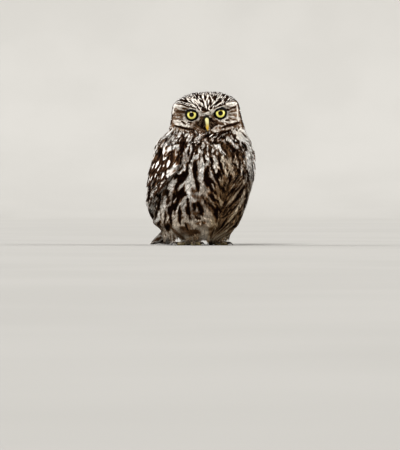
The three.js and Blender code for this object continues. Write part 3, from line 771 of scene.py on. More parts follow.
def eye_finish():
    """The eye: pupil, iris and dark rim by the distance from the middle of its surface place. The
    iris has fine radial fibres, and is darker outside and round the pupil; above, it is darkened
    with painted shade from the upper lid."""
    material, tree, shader = new_material("eye")

    def vector(operation, *values):
        values = dict(enumerate(values))
        return node(tree, "ShaderNodeVectorMath", values, operation=operation).outputs

    place = vector("MULTIPLY_ADD", surface_place(tree), (2, 2, 0), (-1, -1, 0))[0]
    out = vector("LENGTH", place)["Value"]
    upper = node(tree, "ShaderNodeSeparateXYZ", {0: place}).outputs[1]
    fibres = noise_at(tree, vector("NORMALIZE", place)[0], 20.0, 4.0)
    seen = blend(tree, ramp_between(tree, fibres, 0.3, 0.7), colour(232, 222, 104), colour(248, 243, 156))
    for value, low, high, shade in [
        (out, 0.58, 0.72, (120, 104, 30)),
        # painted shade of the upper lid over the iris's top
        (upper, 0.05, 0.44, (64, 56, 16)),
        (out, 0.4, 0.32, (170, 152, 48)),
        (out, 0.33, 0.31, (2, 2, 2)),
        (out, 0.78, 0.82, (8, 6, 5)),
    ]:
        seen = blend(tree, ramp_between(tree, value, low, high), seen, colour(*shade))
    fill(tree, shader, {
        "Base Color": seen,
        "Roughness": 0.2,
        "Specular IOR Level": 0.1,
        "Coat Weight": 0.4,
        "Coat Roughness": 0.02,
    })
    return material


coat_finish = plumage()
horn_finish = bill_finish()
iris_finish = eye_finish()
claw_finish = plain_finish("claw_horn", (34, 27, 22), (52, 42, 34), 0.3, 250.0)
cere_finish = plain_finish("cere_skin", (34, 30, 22), (22, 18, 14), 0.6, 500.0, 0.4, 0.1)
toe_finish = plain_finish("toe_skin", (128, 116, 84), (92, 80, 56), 0.65, 600.0, 0.6)
lid_finish = plain_finish("lid_skin", (7, 5, 4), (14, 10, 8), 0.6, 900.0, 0.4, 0.1)
floor_finish = plain_finish("floor", (172, 170, 166), (169, 167, 163), 0.9, 3.0, 0.0, 0.0)

# skin


def body_skin():
    """The skin of body and neck: the coat's surface drawn in by the coat's depth."""
    z = np.r_[BELLY_BOTTOM + 3.5, np.linspace(19, 150, 88)]
    z, angle = np.meshgrid(z, np.linspace(-180, 180, 180, endpoint=False), indexing="ij")
    points = coat_place(angle, z) - coat_normal(angle, z) * COAT_DEPTH
    return closed_rings(points, np.stack([angle / 360 + 0.5, (z - 10) / 150], -1))


def head_skin():
    """The head's skin: its surface in every direction, drawn in by the face's coat depth."""
    latitude = np.linspace(-70, 89.5, 120) * DEGREE
    longitude = np.linspace(-180, 180, 180, endpoint=False) * DEGREE
    latitude, longitude = np.meshgrid(latitude, longitude, indexing="ij")
    ray = ray_at(longitude, latitude)
    uv = np.stack([longitude / (2 * math.pi) + 0.5, latitude / math.pi + 0.5], -1)
    return closed_rings(from_head(on_head(ray) - ray * FACE_COAT_DEPTH), uv)


def leg_place(side, share, angle, z):
    """A point of a thigh and shank at a share of its section's size: level rings, narrow at the
    ankle."""
    points = section_place(leg_at(z) * share, angle, z, LEG_SQUARENESS)
    return points + np.array([side * LEG_X, LEG_Y, 0])


def leg_skin(side):
    """The skin of one feathered leg."""
    angle = np.linspace(-180, 180, 28, endpoint=False)
    z, angle = np.meshgrid(np.linspace(4, 24, 14), angle, indexing="ij")
    return closed_rings(leg_place(side, 0.88, angle, z))


# body feathers

DOWN = np.array([0, 0, -1.0])
lie_at = table_reader([
    [-180, 0], [-130, 0], [-108, -8], [-78, -26], [-54, -34], [-38, -18], [-29, 0], [-18, 20], [-7, 22],
    [0, 4], [7, -24], [18, -38], [36, -38], [56, -26], [80, -12], [110, 0], [180, 0],
])


def body_lie(angle, z):
    """The lie of the body's feathers, in degrees from straight down towards the bird's left. Below
    the breast they part a little to the right of the middle and meet again at the middle line."""
    turn = (angle + 180) % 360 - 180
    return lie_at(turn)[..., 0] * smooth((122 - z) / 50)


def scatter_body(z_high, z_low, row_gap, gap, seed, keep):
    """Staggered rows of places round the body from high to low, moved a little at random; keep
    tells which of them are wanted."""
    rng = seeded(seed)
    angles, heights = [], []
    for k, z in enumerate(np.arange(z_high, z_low, -row_gap)):
        half_width, front, back = torso_at(np.array(z))
        count = int(math.pi * (half_width + (back - front) / 2) / gap)
        even = (np.arange(count) + 0.5 * (k % 2)) * 360 / count - 180
        angles.append(even + rng.uniform(-0.28, 0.28, count) * 360 / count)
        heights.append(z + rng.uniform(-0.3, 0.3, count) * row_gap)
    angle, z = np.concatenate(angles), np.concatenate(heights)
    kept = keep(angle, z)
    return angle[kept], z[kept]


def body_bed(angle, z, wander, seed):
    """Roots, outward directions, lies and unwrap places of feathers at places on the body. Their
    lies wander by some degrees."""
    out = coat_normal(angle, z)
    down = unit(coat_place(angle, z - 0.5) - coat_place(angle, z + 0.5))
    turn = (body_lie(angle, z) + seeded(seed).normal(0, wander, len(z))) * DEGREE
    lie = turned(down, unit(np.cross(out, down)), turn)
    return coat_place(angle, z), out, lie, np.stack([angle / 362 + 0.5, (z - 5) / 140], -1)


def chance(first, second, seed):
    """A number from 0 to 1 for each pair of whole numbers, the same each time."""
    value = np.sin(first * 12.9898 + second * 78.233 + seed * 37.719) * 43758.5453
    return value - np.floor(value)


def lines_of_dashes(across, along, period, dash, share, seed, soft=1.1):
    """Drop-shaped dashes in lines, 1 inside and 0 outside, from places across and along the lie in
    millimetres. Each line starts at its own place, each dash has its own width and shift, and
    share is the part of the period that a dash takes at its widest."""
    line = np.floor(across / period)
    off = across / period - line - 0.5
    place = along / dash + chance(line, 0, seed)
    number = np.floor(place)
    down = place - number
    wide = share * 0.5 * (0.6 + 0.8 * chance(line, number, seed + 1))
    profile = np.sin(math.pi * np.clip(down * 1.08, 0, 1) ** 1.25)
    shift = 0.3 * (chance(line, number, seed + 2) - 0.5)
    return smooth((wide * profile - np.abs(off + shift)) * period / soft + 0.5)


ARC_PER_DEGREE = 0.92
LINES_TOP = 124.0
LINE_STEPS = 10

# The breast's and shoulders' main strokes: tone, half width, and places as pairs of angle and height.
BODY_STROKES = [
    [0.95, 3.2, -114, 124, -103, 116], [0.97, 3.2, -96, 115, -104, 109, -104, 100],
    [0.6, 0.9, -113, 116, -114, 104], [0.95, 3.2, -91, 132, -95, 124],
    [0.75, 2.9, -82, 127, -85, 120, -86, 113], [0.95, 2, -69, 122, -75, 117],
    [0.97, 2.4, -80, 118, -79, 113, -82, 106], [0.98, 2.5, -60, 116, -70, 114, -75, 110],
    [0.9, 1.9, -78, 126, -75, 122], [0.97, 3.5, -67, 130, -69, 127],
    [0.04, 4.2, -87, 111, -88, 102, -86, 92, -82, 83], [0.05, 3.3, -93, 97, -90, 86, -86, 76],
    [0.06, 1.4, -74, 118, -78, 114], [0.06, 1.1, -65, 109, -72, 108, -74, 104],
    [0.97, 3.5, -74, 101, -78, 96, -75, 89], [0.7, 1.8, -68, 102, -72, 97, -73, 92],
    [0.96, 2.9, -114, 95, -115, 86], [0.98, 2.4, -98, 88, -93, 81], [0.85, 0.9, -115, 82, -115, 77],
    [0.98, 2.6, -105, 80, -104, 75], [0.9, 0.8, -115, 76, -115, 72], [0.98, 3.2, -108, 71, -106, 62],
    [0.9, 2.6, -103, 60, -100, 54], [0.6, 0.9, -116, 61, -116, 54],
    [0.04, 2.7, -99, 76, -96, 65, -99, 54, -107, 47], [0.05, 1.9, -88, 75, -89, 67],
    [0.1, 1.9, -64, 102, -70, 91, -75, 82, -79, 75], [0.82, 3.6, -60, 94, -68, 86, -72, 77],
    [0.95, 2.3, -48, 94, -52, 86, -59, 83], [0.05, 2.9, -50, 85, -56, 76, -60, 66],
    [0.9, 3.9, -61, 75, -68, 71, -70, 66], [0.72, 1.9, -74, 77, -77, 72], [0.85, 1.5, -51, 72, -54, 66],
    [0.86, 3.9, -42, 80, -43, 68, -40, 59], [0.85, 2, -43, 94, -41, 85, -36, 78],
    [0.05, 2.2, -35, 100, -37, 89, -32, 76, -29, 64], [0.75, 1.7, -29, 98, -30, 85],
    [0.75, 0.9, -31, 80, -30, 74], [0.97, 1.9, -25, 95, -26, 85, -25, 76], [0.75, 1.7, -25, 76, -22, 67],
    [0.9, 1.7, -44, 122, -44, 116], [0.97, 2, -41, 113, -40, 108], [0.85, 2.2, -50, 112, -49, 108],
    [0.93, 2.8, -32, 105, -35, 101], [0.93, 2.1, -30, 111, -30, 108], [0.7, 2.6, -49, 106, -46, 97],
    [0.85, 1.9, -24, 118, -26, 113], [0.93, 1.2, -16, 119, -19, 116],
    [0.85, 1.1, -58, 128, -51, 130, -45, 126, -48, 122], [0.88, 1.1, -28, 128, -35, 125, -32, 119],
    [0.1, 3.5, -58, 125, -55, 116, -56, 107], [0.15, 2.1, -60, 104, -56, 95],
    [0.1, 1.9, -40, 125, -37, 113, -41, 102], [0.1, 1.7, -46, 96, -46, 81],
    [0.85, 1.7, -81, 72, -88, 65, -96, 55], [0.3, 2.5, -75, 65, -81, 55],
    [0.06, 2.1, -88, 53, -90, 44, -98, 38, -105, 32], [0.93, 7.3, -105, 47, -129, 38, -118, 31],
    [0.95, 2.8, -92, 39, -93, 31, -108, 27], [0.82, 4.1, -77, 56, -80, 46, -85, 39, -85, 31],
    [0.2, 1.7, -72, 58, -72, 48], [0.05, 1.3, -63, 54, -65, 45], [0.07, 2, -70, 42, -70, 32, -74, 24],
    [0.1, 2, -90, 28, -100, 23], [0.68, 1.9, -64, 64, -67, 55, -68, 47],
    [0.85, 2, -63, 40, -66, 31, -66, 23], [0.1, 2.4, -59, 66, -55, 55, -59, 44],
    [0.05, 2.3, -53, 40, -56, 26], [0.8, 1.5, -54, 47, -59, 38, -60, 28],
    [0.76, 2.8, -46, 56, -49, 46, -47, 37, -44, 28], [0.03, 1.8, -42, 55, -41, 44, -39, 31],
    [0.65, 1.2, -36, 52, -37, 42, -36, 33, -33, 29], [0.08, 1.3, -47, 27, -47, 19],
    [0.1, 2.2, -79, 24, -91, 18], [0.98, 1.1, -43, 63, -40, 56], [0.98, 0.7, -39, 58, -34, 54],
    [0.1, 1.5, -51, 66, -51, 55], [0.05, 2.7, -29, 50, -24, 43, -21, 36], [0.06, 1.5, -31, 33, -23, 31],
    [0.03, 2, -34, 50, -32, 42], [0.6, 0.7, -30, 56, -29, 50], [0.6, 0.7, -26, 58, -26, 52],
    [0.98, 1.3, -22, 104, -19, 98], [0.86, 1.8, -12, 104, -10, 97, -5, 89],
    [0.04, 1.6, -7, 104, -4, 92, -1, 84], [0.86, 1.5, -3, 103, 0, 90, 2, 82],
    [0.74, 2.6, 2, 102, 6, 90, 11, 81], [0.05, 1.8, -15, 103, -14, 92, -8, 81], [0.88, 1, -13, 94, -8, 83],
    [0.06, 2, -19, 92, -20, 81, -18, 68], [0.7, 1.5, -18, 84, -11, 76], [0.05, 1.8, -6, 86, -7, 77],
    [0.04, 1.5, 7, 82, 6, 74], [0.55, 1.3, -1, 82, 2, 74], [0.05, 1.1, 8, 98, 14, 92],
    [0.04, 2.2, 17, 95, 19, 83], [0.06, 1.4, 14, 106, 21, 96], [0.9, 1.2, 14, 98, 17, 90],
    [0.92, 1.7, 23, 94, 23, 82], [0.98, 1.5, 26, 101, 30, 95], [0.1, 2.4, 26, 106, 28, 100],
    [0.99, 5.2, 36, 110, 38, 100, 39, 88], [0.96, 1.5, 55, 89, 58, 80, 58, 70, 58, 62],
    [0.07, 2.6, 35, 87, 41, 74], [0.8, 3.2, 32, 81, 30, 72], [0.07, 2.2, 26, 86, 28, 78],
    [0.96, 2.4, 12, 133, 26, 127, 38, 121, 49, 111], [0.95, 1.7, 21, 132, 46, 123],
    [0.08, 2, 26, 133, 47, 126], [0.95, 1.7, 19, 126, 31, 120], [0.9, 2.9, 24, 135, 59, 129],
    [0.85, 1.1, 11, 128, 13, 122], [0.86, 2, 6, 126, 11, 119, 18, 113], [0.1, 2.4, 15, 128, 19, 119],
    [0.08, 1.7, 3, 122, 9, 113, 19, 108], [0.08, 2.7, 27, 119, 37, 111], [0.98, 1.3, -6, 117, -3, 108],
    [0.95, 0.8, -1, 110, 0, 104], [0.9, 0.8, -8, 110, -7, 106], [0.75, 0.9, -10, 118, -10, 110],
    [0.42, 2.9, -1, 119, 3, 111, 6, 104], [0.12, 1.1, -1, 114, 2, 106],
    [0.04, 3.2, -20, 127, -9, 125, 1, 126], [0.08, 2, -19, 122, -12, 120, -3, 121],
    [0.07, 1, -24, 59, -17, 48, -11, 42, -6, 37], [0.07, 1, -15, 50, -8, 42], [0.05, 0.9, -10, 47, -4, 40],
    [0.04, 1, -6, 48, 1, 39], [0.04, 1.7, -15, 69, -9, 60, -4, 53, 1, 46], [0.06, 1.1, -3, 69, 2, 62],
    [0.72, 1.1, -23, 68, -18, 59, -12, 52, -6, 45], [0.74, 0.9, -11, 62, -4, 53],
    [0.85, 1.1, -3, 56, 1, 46], [0.88, 0.8, -13, 72, -10, 66], [0.6, 0.9, -8, 66, -2, 58],
    [0.6, 1, -16, 48, -7, 38], [0.05, 1.8, 15, 68, 8, 59, 3, 47], [0.08, 1.7, 26, 59, 18, 53, 11, 45],
    [0.05, 2.5, 29, 44, 25, 37, 20, 28], [0.08, 1.8, 20, 28, 12, 20], [0.04, 2.9, 40, 29, 41, 20],
    [0.12, 0.8, 14, 37, 3, 32], [0.08, 1.2, 15, 43, 10, 38], [0.06, 2.9, 41, 60, 49, 47, 48, 38, 49, 31],
    [0.76, 1.7, 21, 64, 14, 56, 7, 47], [0.62, 1.1, 9, 60, 5, 52],
    [0.86, 3.4, 33, 64, 32, 54, 29, 46, 24, 38, 17, 29],
    [0.97, 1.1, 59, 54, 58, 44, 58, 36, 57, 29, 58, 21], [0.86, 2.9, 42, 67, 59, 55],
    [0.9, 2.6, 44, 44, 48, 35], [0.62, 2.8, 33, 34, 30, 26], [0.85, 0.8, 14, 73, 9, 66],
    [0.7, 1.5, -13, 27, -16, 23, -10, 18], [0.8, 0.9, -22, 29, -23, 24], [0.75, 1.1, -22, 124, -23, 120],
    [0.85, 1.3, -12, 126, -12, 121], [0.7, 1.2, -5, 125, -5, 120], [0.8, 1.1, -10, 119, -10, 114],
    [0.55, 0.9, -16, 121, -18, 116], [0.6, 0.8, -1, 124, 0, 119],
]


def trace_up(angle, z):
    """Follows the lie of the feathers upwards from places on the body, and gives the angle at
    which each line crosses the height where the lines start."""
    rise = (LINES_TOP - z) / LINE_STEPS
    for _ in range(LINE_STEPS):
        slope = np.tan(body_lie(angle, z) * DEGREE)
        angle = angle - slope * rise / ARC_PER_DEGREE
        z = z + rise
    return angle


def draw_strokes(tone, across, up, strokes, stretch=1.0):
    """Draws strokes over a tone: each is a soft line through its places, full in its middle and
    narrower at its ends. across and up are the places of the tone's points in millimetres, and
    stretch turns the first numbers of the strokes' places into millimetres."""
    for value, half, *places in strokes:
        line = np.reshape(places, (-1, 2)) * [stretch, 1]
        low, high = line.min(0) - 1.6 * half, line.max(0) + 1.6 * half
        near = (across > low[0]) & (across < high[0]) & (up > low[1]) & (up < high[1])
        x, z = across[near], up[near]
        parts = np.diff(line, axis=0)
        lengths = np.linalg.norm(parts, axis=1)
        starts = np.cumsum(lengths) - lengths
        far = np.full(x.shape, 9.0)
        for (x0, z0), (dx, dz), length, start in zip(line, parts, lengths, starts):
            t = np.clip(((x - x0) * dx + (z - z0) * dz) / length**2, 0, 1)
            run = np.clip((start + t * length) / lengths.sum(), 1e-6, 1 - 1e-6)
            wide = half * (0.55 + 0.45 * np.sin(math.pi * run) ** 0.7)
            far = np.minimum(far, np.hypot(x - x0 - t * dx, z - z0 - t * dz) / wide)
        tone[near] = mix(tone[near], value, smooth((1.4 - far) / 0.7))
    return tone


def body_paint(points):
    """The marks of the body's front and sides at any point. Tone goes from 0, darkest, to 1,
    palest: white drops on brown over the upper breast, long brown dashes on white below, following
    the lie of the feathers, plain pale fluff low on the thighs, a white edge with dark lines at
    the left flank, a darker, buffer middle that is painted shade of the hollow between the thighs,
    and the breast's main strokes over these."""
    z = points[..., 2]
    angle = body_angle(points)
    source = trace_up(angle, z)
    across = source * ARC_PER_DEGREE + 1.3 * ripples(points, 20, 101)
    along = (LINES_TOP - z) * 1.05 + 4 * ripples(points, 45, 102)
    uneven = ripples(points, 38, 103)
    drops = lines_of_dashes(across, along, 5.2, 9.0, 0.56, 5)
    flecks = lines_of_dashes(across + 1.3, along, 2.7, 5.0, 0.5, 15, 0.7)
    high = mix(0.14 + 0.06 * uneven + 0.26 * flecks, 0.9, drops)
    wide = lines_of_dashes(across, along, 6.6, 24.0, 0.7, 1)
    fine = lines_of_dashes(across, along, 4.6, 27.0, 0.6, 9, 0.9)
    flank = smooth((source - 14) / 10)
    streaks = mix(wide, fine, flank)
    thin = lines_of_dashes(across + 2, along, 2.4, 9.0, 0.5, 13, 0.8)
    low = mix(mix(0.84, 0.7, flank), 0.06, streaks) - 0.35 * thin * (1 - streaks)
    low = mix(low, 0.9 - 0.3 * streaks - 0.2 * thin, smooth((24 - z + 5 * uneven) / 12))
    tone = mix(low, high, smooth((z - 99 + 5 * uneven) / 12))
    edge = smooth((angle - 29) / 8) * smooth((z - 66) / 14) * smooth((134 - z) / 8)
    edge = np.maximum(edge, smooth((angle - 48) / 8) * smooth((z - 22) / 14) * 0.9)
    edge = edge * smooth((80 - angle + 6 * uneven) / 16)
    edge_lines = lines_of_dashes(angle * ARC_PER_DEGREE + 0.2 * z, z, 3.8, 20.0, 0.42, 17, 0.8)
    tone = mix(tone, mix(0.98, 0.08, edge_lines), edge)
    # Painted shade of the hollow between the thighs: darker here, and buffer through tan below.
    middle = hump(angle + 8, 18) * hump(z - 54, 20)
    tone = tone * (1 - 0.3 * middle)
    wander = 0.5 * ripples(points, 4, 104)
    arc = angle * ARC_PER_DEGREE + wander
    tone = draw_strokes(tone, arc, z + wander, BODY_STROKES, ARC_PER_DEGREE)
    tan = smooth((angle + 14) / 14) * smooth((118 - z) / 20) * (1 - edge) + middle
    buff = np.clip(0.6 * tan + 0.5 * smooth((50 - z) / 30) + 0.1, 0, 1)
    return {"ground": np.clip(tone, 0, 1), "buff": buff * (1 - smooth((tone - 0.86) / 0.1))}


def back_marks(count, seed):
    """Brown feathers with a long white spot near the tip of most."""
    rng = seeded(seed)
    return {
        "ground": 0.14 + 0.14 * rng.random(count),
        "ink": 0.92,
        "spot": rng.uniform(0.35, 0.85, count) * (rng.random(count) > 0.36),
        "tint": rng.normal(0, 0.3, count),
    }


def flank_edge(z):
    """The angle to which the flanks' feathers reach over the folded wing's front edge."""
    return np.minimum(wing_front(z) + mix(8, 30, smooth((100 - z) / 22)), 112)


def over_wing_lift(angle, z):
    """How much higher the flanks' feathers lie where they cover the wing's front edge."""
    return 2.6 * smooth((np.abs(angle) - wing_front(z) - 2) / 11)


def breast_feathers(z_high, z_low, length, width, seed):
    """Contour feathers over breast, belly and flanks, and round the neck."""
    def open_body(angle, z):
        return (np.abs(angle) < flank_edge(z)) | ((z > 112) & (np.abs(angle) < 100))

    angle, z = scatter_body(z_high, z_low, 3.3, 4.0, seed, open_body)
    bed = body_bed(angle, z, 6, seed + 1)
    rng = seeded(seed + 2)
    count = len(z)
    length = length * rng.uniform(0.8, 1.2, count)
    width = width * rng.uniform(0.8, 1.2, count)
    marks = {"tint": rng.normal(0, 0.3, count)}
    upper = rng.random(count) < smooth((z - 97) / 10)
    marks["ink"] = np.where(upper, 0.95, 0.04)
    spotted = upper & (rng.random(count) < 0.14)
    marks["spot"] = np.where(spotted, rng.uniform(0.3, 0.8, count), 0)
    flank = smooth((angle - 8) / 14) * smooth((96 - z) / 16)
    streaked = ~upper & (rng.random(count) < mix(0.06, 0.5, flank))
    marks["streak"] = np.where(streaked, rng.uniform(0.1, 0.26, count), 0)
    lift = over_wing_lift(angle, z)
    rise = (lift - 2.6, lift + 0.3 + 0.8 * rng.random(count))
    vanes = grow(VANE, settle_on_body, bed, marks, length, width, rise, seed + 3, ragged=0.14,
                 paint=body_paint)
    return vanes, (bed, length, width, marks)


def back_feathers():
    """Broader feathers over the nape and the middle of the back."""
    def hind_body(angle, z):
        return (np.abs(angle) > 140) | ((z > 112) & (np.abs(angle) >= 100))

    angle, z = scatter_body(135, 24, 5.5, 7.5, 15, hind_body)
    length = 16 * seeded(17).uniform(0.85, 1.15, len(z))
    return grow(VANE, settle_on_body, body_bed(angle, z, 4, 16), back_marks(len(z), 18), length,
                9.5, (-2.8, 0.4), 19, ragged=0.08)


def barbs_over(feathers, settle, per_feather, seed, rise=(-0.6, 0.7), slim=0.7, paint=None):
    """Fine loose barbs on the outer half of each feather, with the marks of the place where they
    lie."""
    bed, length, width, marks = feathers
    rng = seeded(seed)
    pick = np.repeat(np.arange(len(length)), per_feather)
    count = len(pick)
    low, high = (np.broadcast_to(value, len(length))[pick] for value in rise)
    root, out, lie, bake, length, width = (values[pick] for values in (*bed, length, width))
    u0 = rng.uniform(-0.85, 0.85, count)
    v0 = rng.uniform(0.3, 0.75, count)
    span = rng.uniform(0.35, 0.5, count)
    side = np.cross(out, lie)
    root = settle(root + lie * (v0 * length)[:, None] + side * (u0 * 0.42 * width)[:, None])
    lie = turned(lie, side, u0 * 0.12 + rng.normal(0, 0.09, count))
    marks = {key: values[pick] for key, values in marks.items()}
    marks["tint"] = marks["tint"] + rng.normal(0, 0.25, count)
    bake = bake + np.stack([u0 * 0.001, (v0 - 0.5) * 0.002], -1)
    width = slim * rng.uniform(0.7, 1.3, count)
    rise = (low, high + 0.5 * rng.random(count))
    return grow(BARB, settle, (root, out, lie, bake), marks, span * length, width, rise, seed + 1,
                ragged=0, down=True, camber=0, thickness=0.22, stray=0.05,
                window=(u0 * 0.5 + 0.5, v0, 0.06, span), paint=paint)


def barb_rise(feathers):
    """The lowest and highest rise of the barbs over each of the body's feathers."""
    root = feathers[0][0]
    lift = over_wing_lift(body_angle(root), root[:, 2])
    return lift - 0.6, lift + 0.9


SKIRT_TOP = 19.0


def settle_as_skirt(points):
    """Onto the body's coat above the thighs; below them the coat's section is drawn in more and
    more towards the legs, but bulges out at the flanks' hind parts."""
    z = points[..., 2]
    lifted = points.copy()
    lifted[..., 2] = np.maximum(z, SKIRT_TOP)
    settled = settle_on_body(lifted)
    behind = smooth((np.abs(body_angle(lifted)) - 70) / 25)
    drawn = mix(1, mix(0.6, 0.94, behind), smooth((SKIRT_TOP - z) / 15))
    drawn = drawn + 0.1 * behind * smooth((36 - z) / 12)
    settled[..., 0] *= drawn
    settled[..., 1] = mix(LEG_Y + 3, settled[..., 1], drawn)
    settled[..., 2] = np.maximum(z, 0.8)
    return settled


def as_it_lies(points):
    """Leaves points where they are."""
    return points


def thigh_fluff():
    """Long soft feathers that hang from the belly and thighs over the legs."""
    def low_front(angle, z):
        return (np.abs(angle) < 135) & ((z < 33) | (np.abs(angle) > 80))

    angle, z = scatter_body(40, SKIRT_TOP, 2.6, 3.6, 91, low_front)
    root, out, _, bake = body_bed(angle, z, 0, 92)
    rng = seeded(93)
    count = len(z)
    lie = unit(DOWN + rng.normal(0, 0.1, (count, 3)))
    out = unit(out * np.array([1, 1, 0.0]))
    bed = root, out, level_with(out, lie), bake
    length = np.minimum(rng.uniform(13, 22, count), z - rng.uniform(2, 9, count))
    marks = {"tint": rng.normal(0, 0.3, count)}
    rise = (-2.2, rng.uniform(-0.8, 0.8, count))
    width = rng.uniform(2.4, 4.0, count)
    vanes = grow(VANE, settle_as_skirt, bed, marks, length, width, rise, 94, ragged=0.16,
                 down=True, stray=0.08, paint=body_paint)
    return vanes, (bed, length, width, marks)


def leg_fluff(side):
    """Short down over a thigh and shank, lying down along them to the ankle."""
    rng = seeded(95)
    angle, z = np.meshgrid(np.arange(0, 360, 16), np.arange(20, 5, -1.3), indexing="ij")
    angle = (angle + rng.uniform(-8, 8, angle.shape)).ravel()
    z = (z + rng.uniform(-0.6, 0.6, z.shape)).ravel()
    on_leg = partial(leg_place, side, 0.93)
    root = on_leg(angle, z)
    down = unit(on_leg(angle, z - 0.5) - on_leg(angle, z + 0.5))
    out = unit(np.cross(on_leg(angle + 1, z) - root, -down))
    count = len(z)
    length = np.minimum(rng.uniform(6, 9, count), z - 2.2)
    marks = {"ground": 0.6 + 0.14 * rng.random(count), "tint": rng.normal(0, 0.3, count), "buff": 0.9}
    bed = root, out, down, np.stack([angle / 380 + 0.02, z / 25], -1)
    return grow(VANE, as_it_lies, bed, marks, length, 3.0, (-0.6, 0.7), 96, ragged=0.15, down=True,
                stray=0.08)


# head feathers

HEAD_SIZE = 38.0
CROWN_ROOT = np.array([0.0, -36.0, 152.0])


def scatter_head(spacing, seed):
    """Places spread evenly over the head by the golden angle, as rays in the head's own frame."""
    count = int(4 * math.pi * HEAD_SIZE**2 / spacing**2)
    k = np.arange(count) + 0.5
    z = 1 - 2 * k / count
    turn = k * math.pi * (3 - math.sqrt(5))
    flat = np.sqrt(1 - z * z)
    ray = np.stack([flat * np.cos(turn), flat * np.sin(turn), z], -1)
    return unit(ray + seeded(seed).normal(0, 0.25 * spacing / HEAD_SIZE, ray.shape))


def brow_line(x):
    """The height of the brow over the face at a distance to the side."""
    return 157.0 + 0.3 * np.abs(x)


def head_bed(ray, wander, seed):
    """The places of the head's feathers in its own frame, and their roots, outward directions,
    lies and unwrap places. The outward direction is found by small steps to both sides and up and
    down. The lies run outwards from the nearer eye on the face, back from the bill's root over
    the crown, and down behind and below."""
    place = on_head(ray)
    steps = unit(np.cross([1.0, 0, 0], ray) + 1e-6), unit(np.cross(ray, [0, 0, 1.0]) + 1e-6)
    spans = [on_head(unit(ray + 0.02 * s)) - on_head(unit(ray - 0.02 * s)) for s in steps]
    out = unit(np.cross(*spans))
    out = np.where((out * ray).sum(-1, keepdims=True) < 0, -out, out)
    eye = np.sign(place[:, :1]) * [EYE_X, 0, 0] + [0, EYE_FRONT_Y + 6, EYE_Z]
    x, y, z = place.T[..., None]
    facing = smooth((-y - 12) / 12)
    on_face = facing * smooth((brow_line(x) - z) / 2.5)
    lie = mix(unit(place - CROWN_ROOT), unit(place - eye), on_face)
    downward = np.maximum(smooth((138 - z) / 10) * facing, 0.8 * smooth((y + 2) / 22))
    lie = level_with(out, mix(lie, DOWN, downward))
    turn = seeded(seed).normal(0, wander, len(ray)) * DEGREE
    lie = turned(lie, unit(np.cross(out, lie)), turn)
    polar = np.arccos(np.clip(ray[:, 2], -1, 1)) / math.pi
    spin = np.arctan2(ray[:, 0], -ray[:, 1])
    bake = 0.5 + 0.48 * np.stack([polar * np.sin(spin), polar * np.cos(spin)], -1)
    return place, (from_head(place), out @ HEAD_MATRIX.T, lie @ HEAD_MATRIX.T, bake)


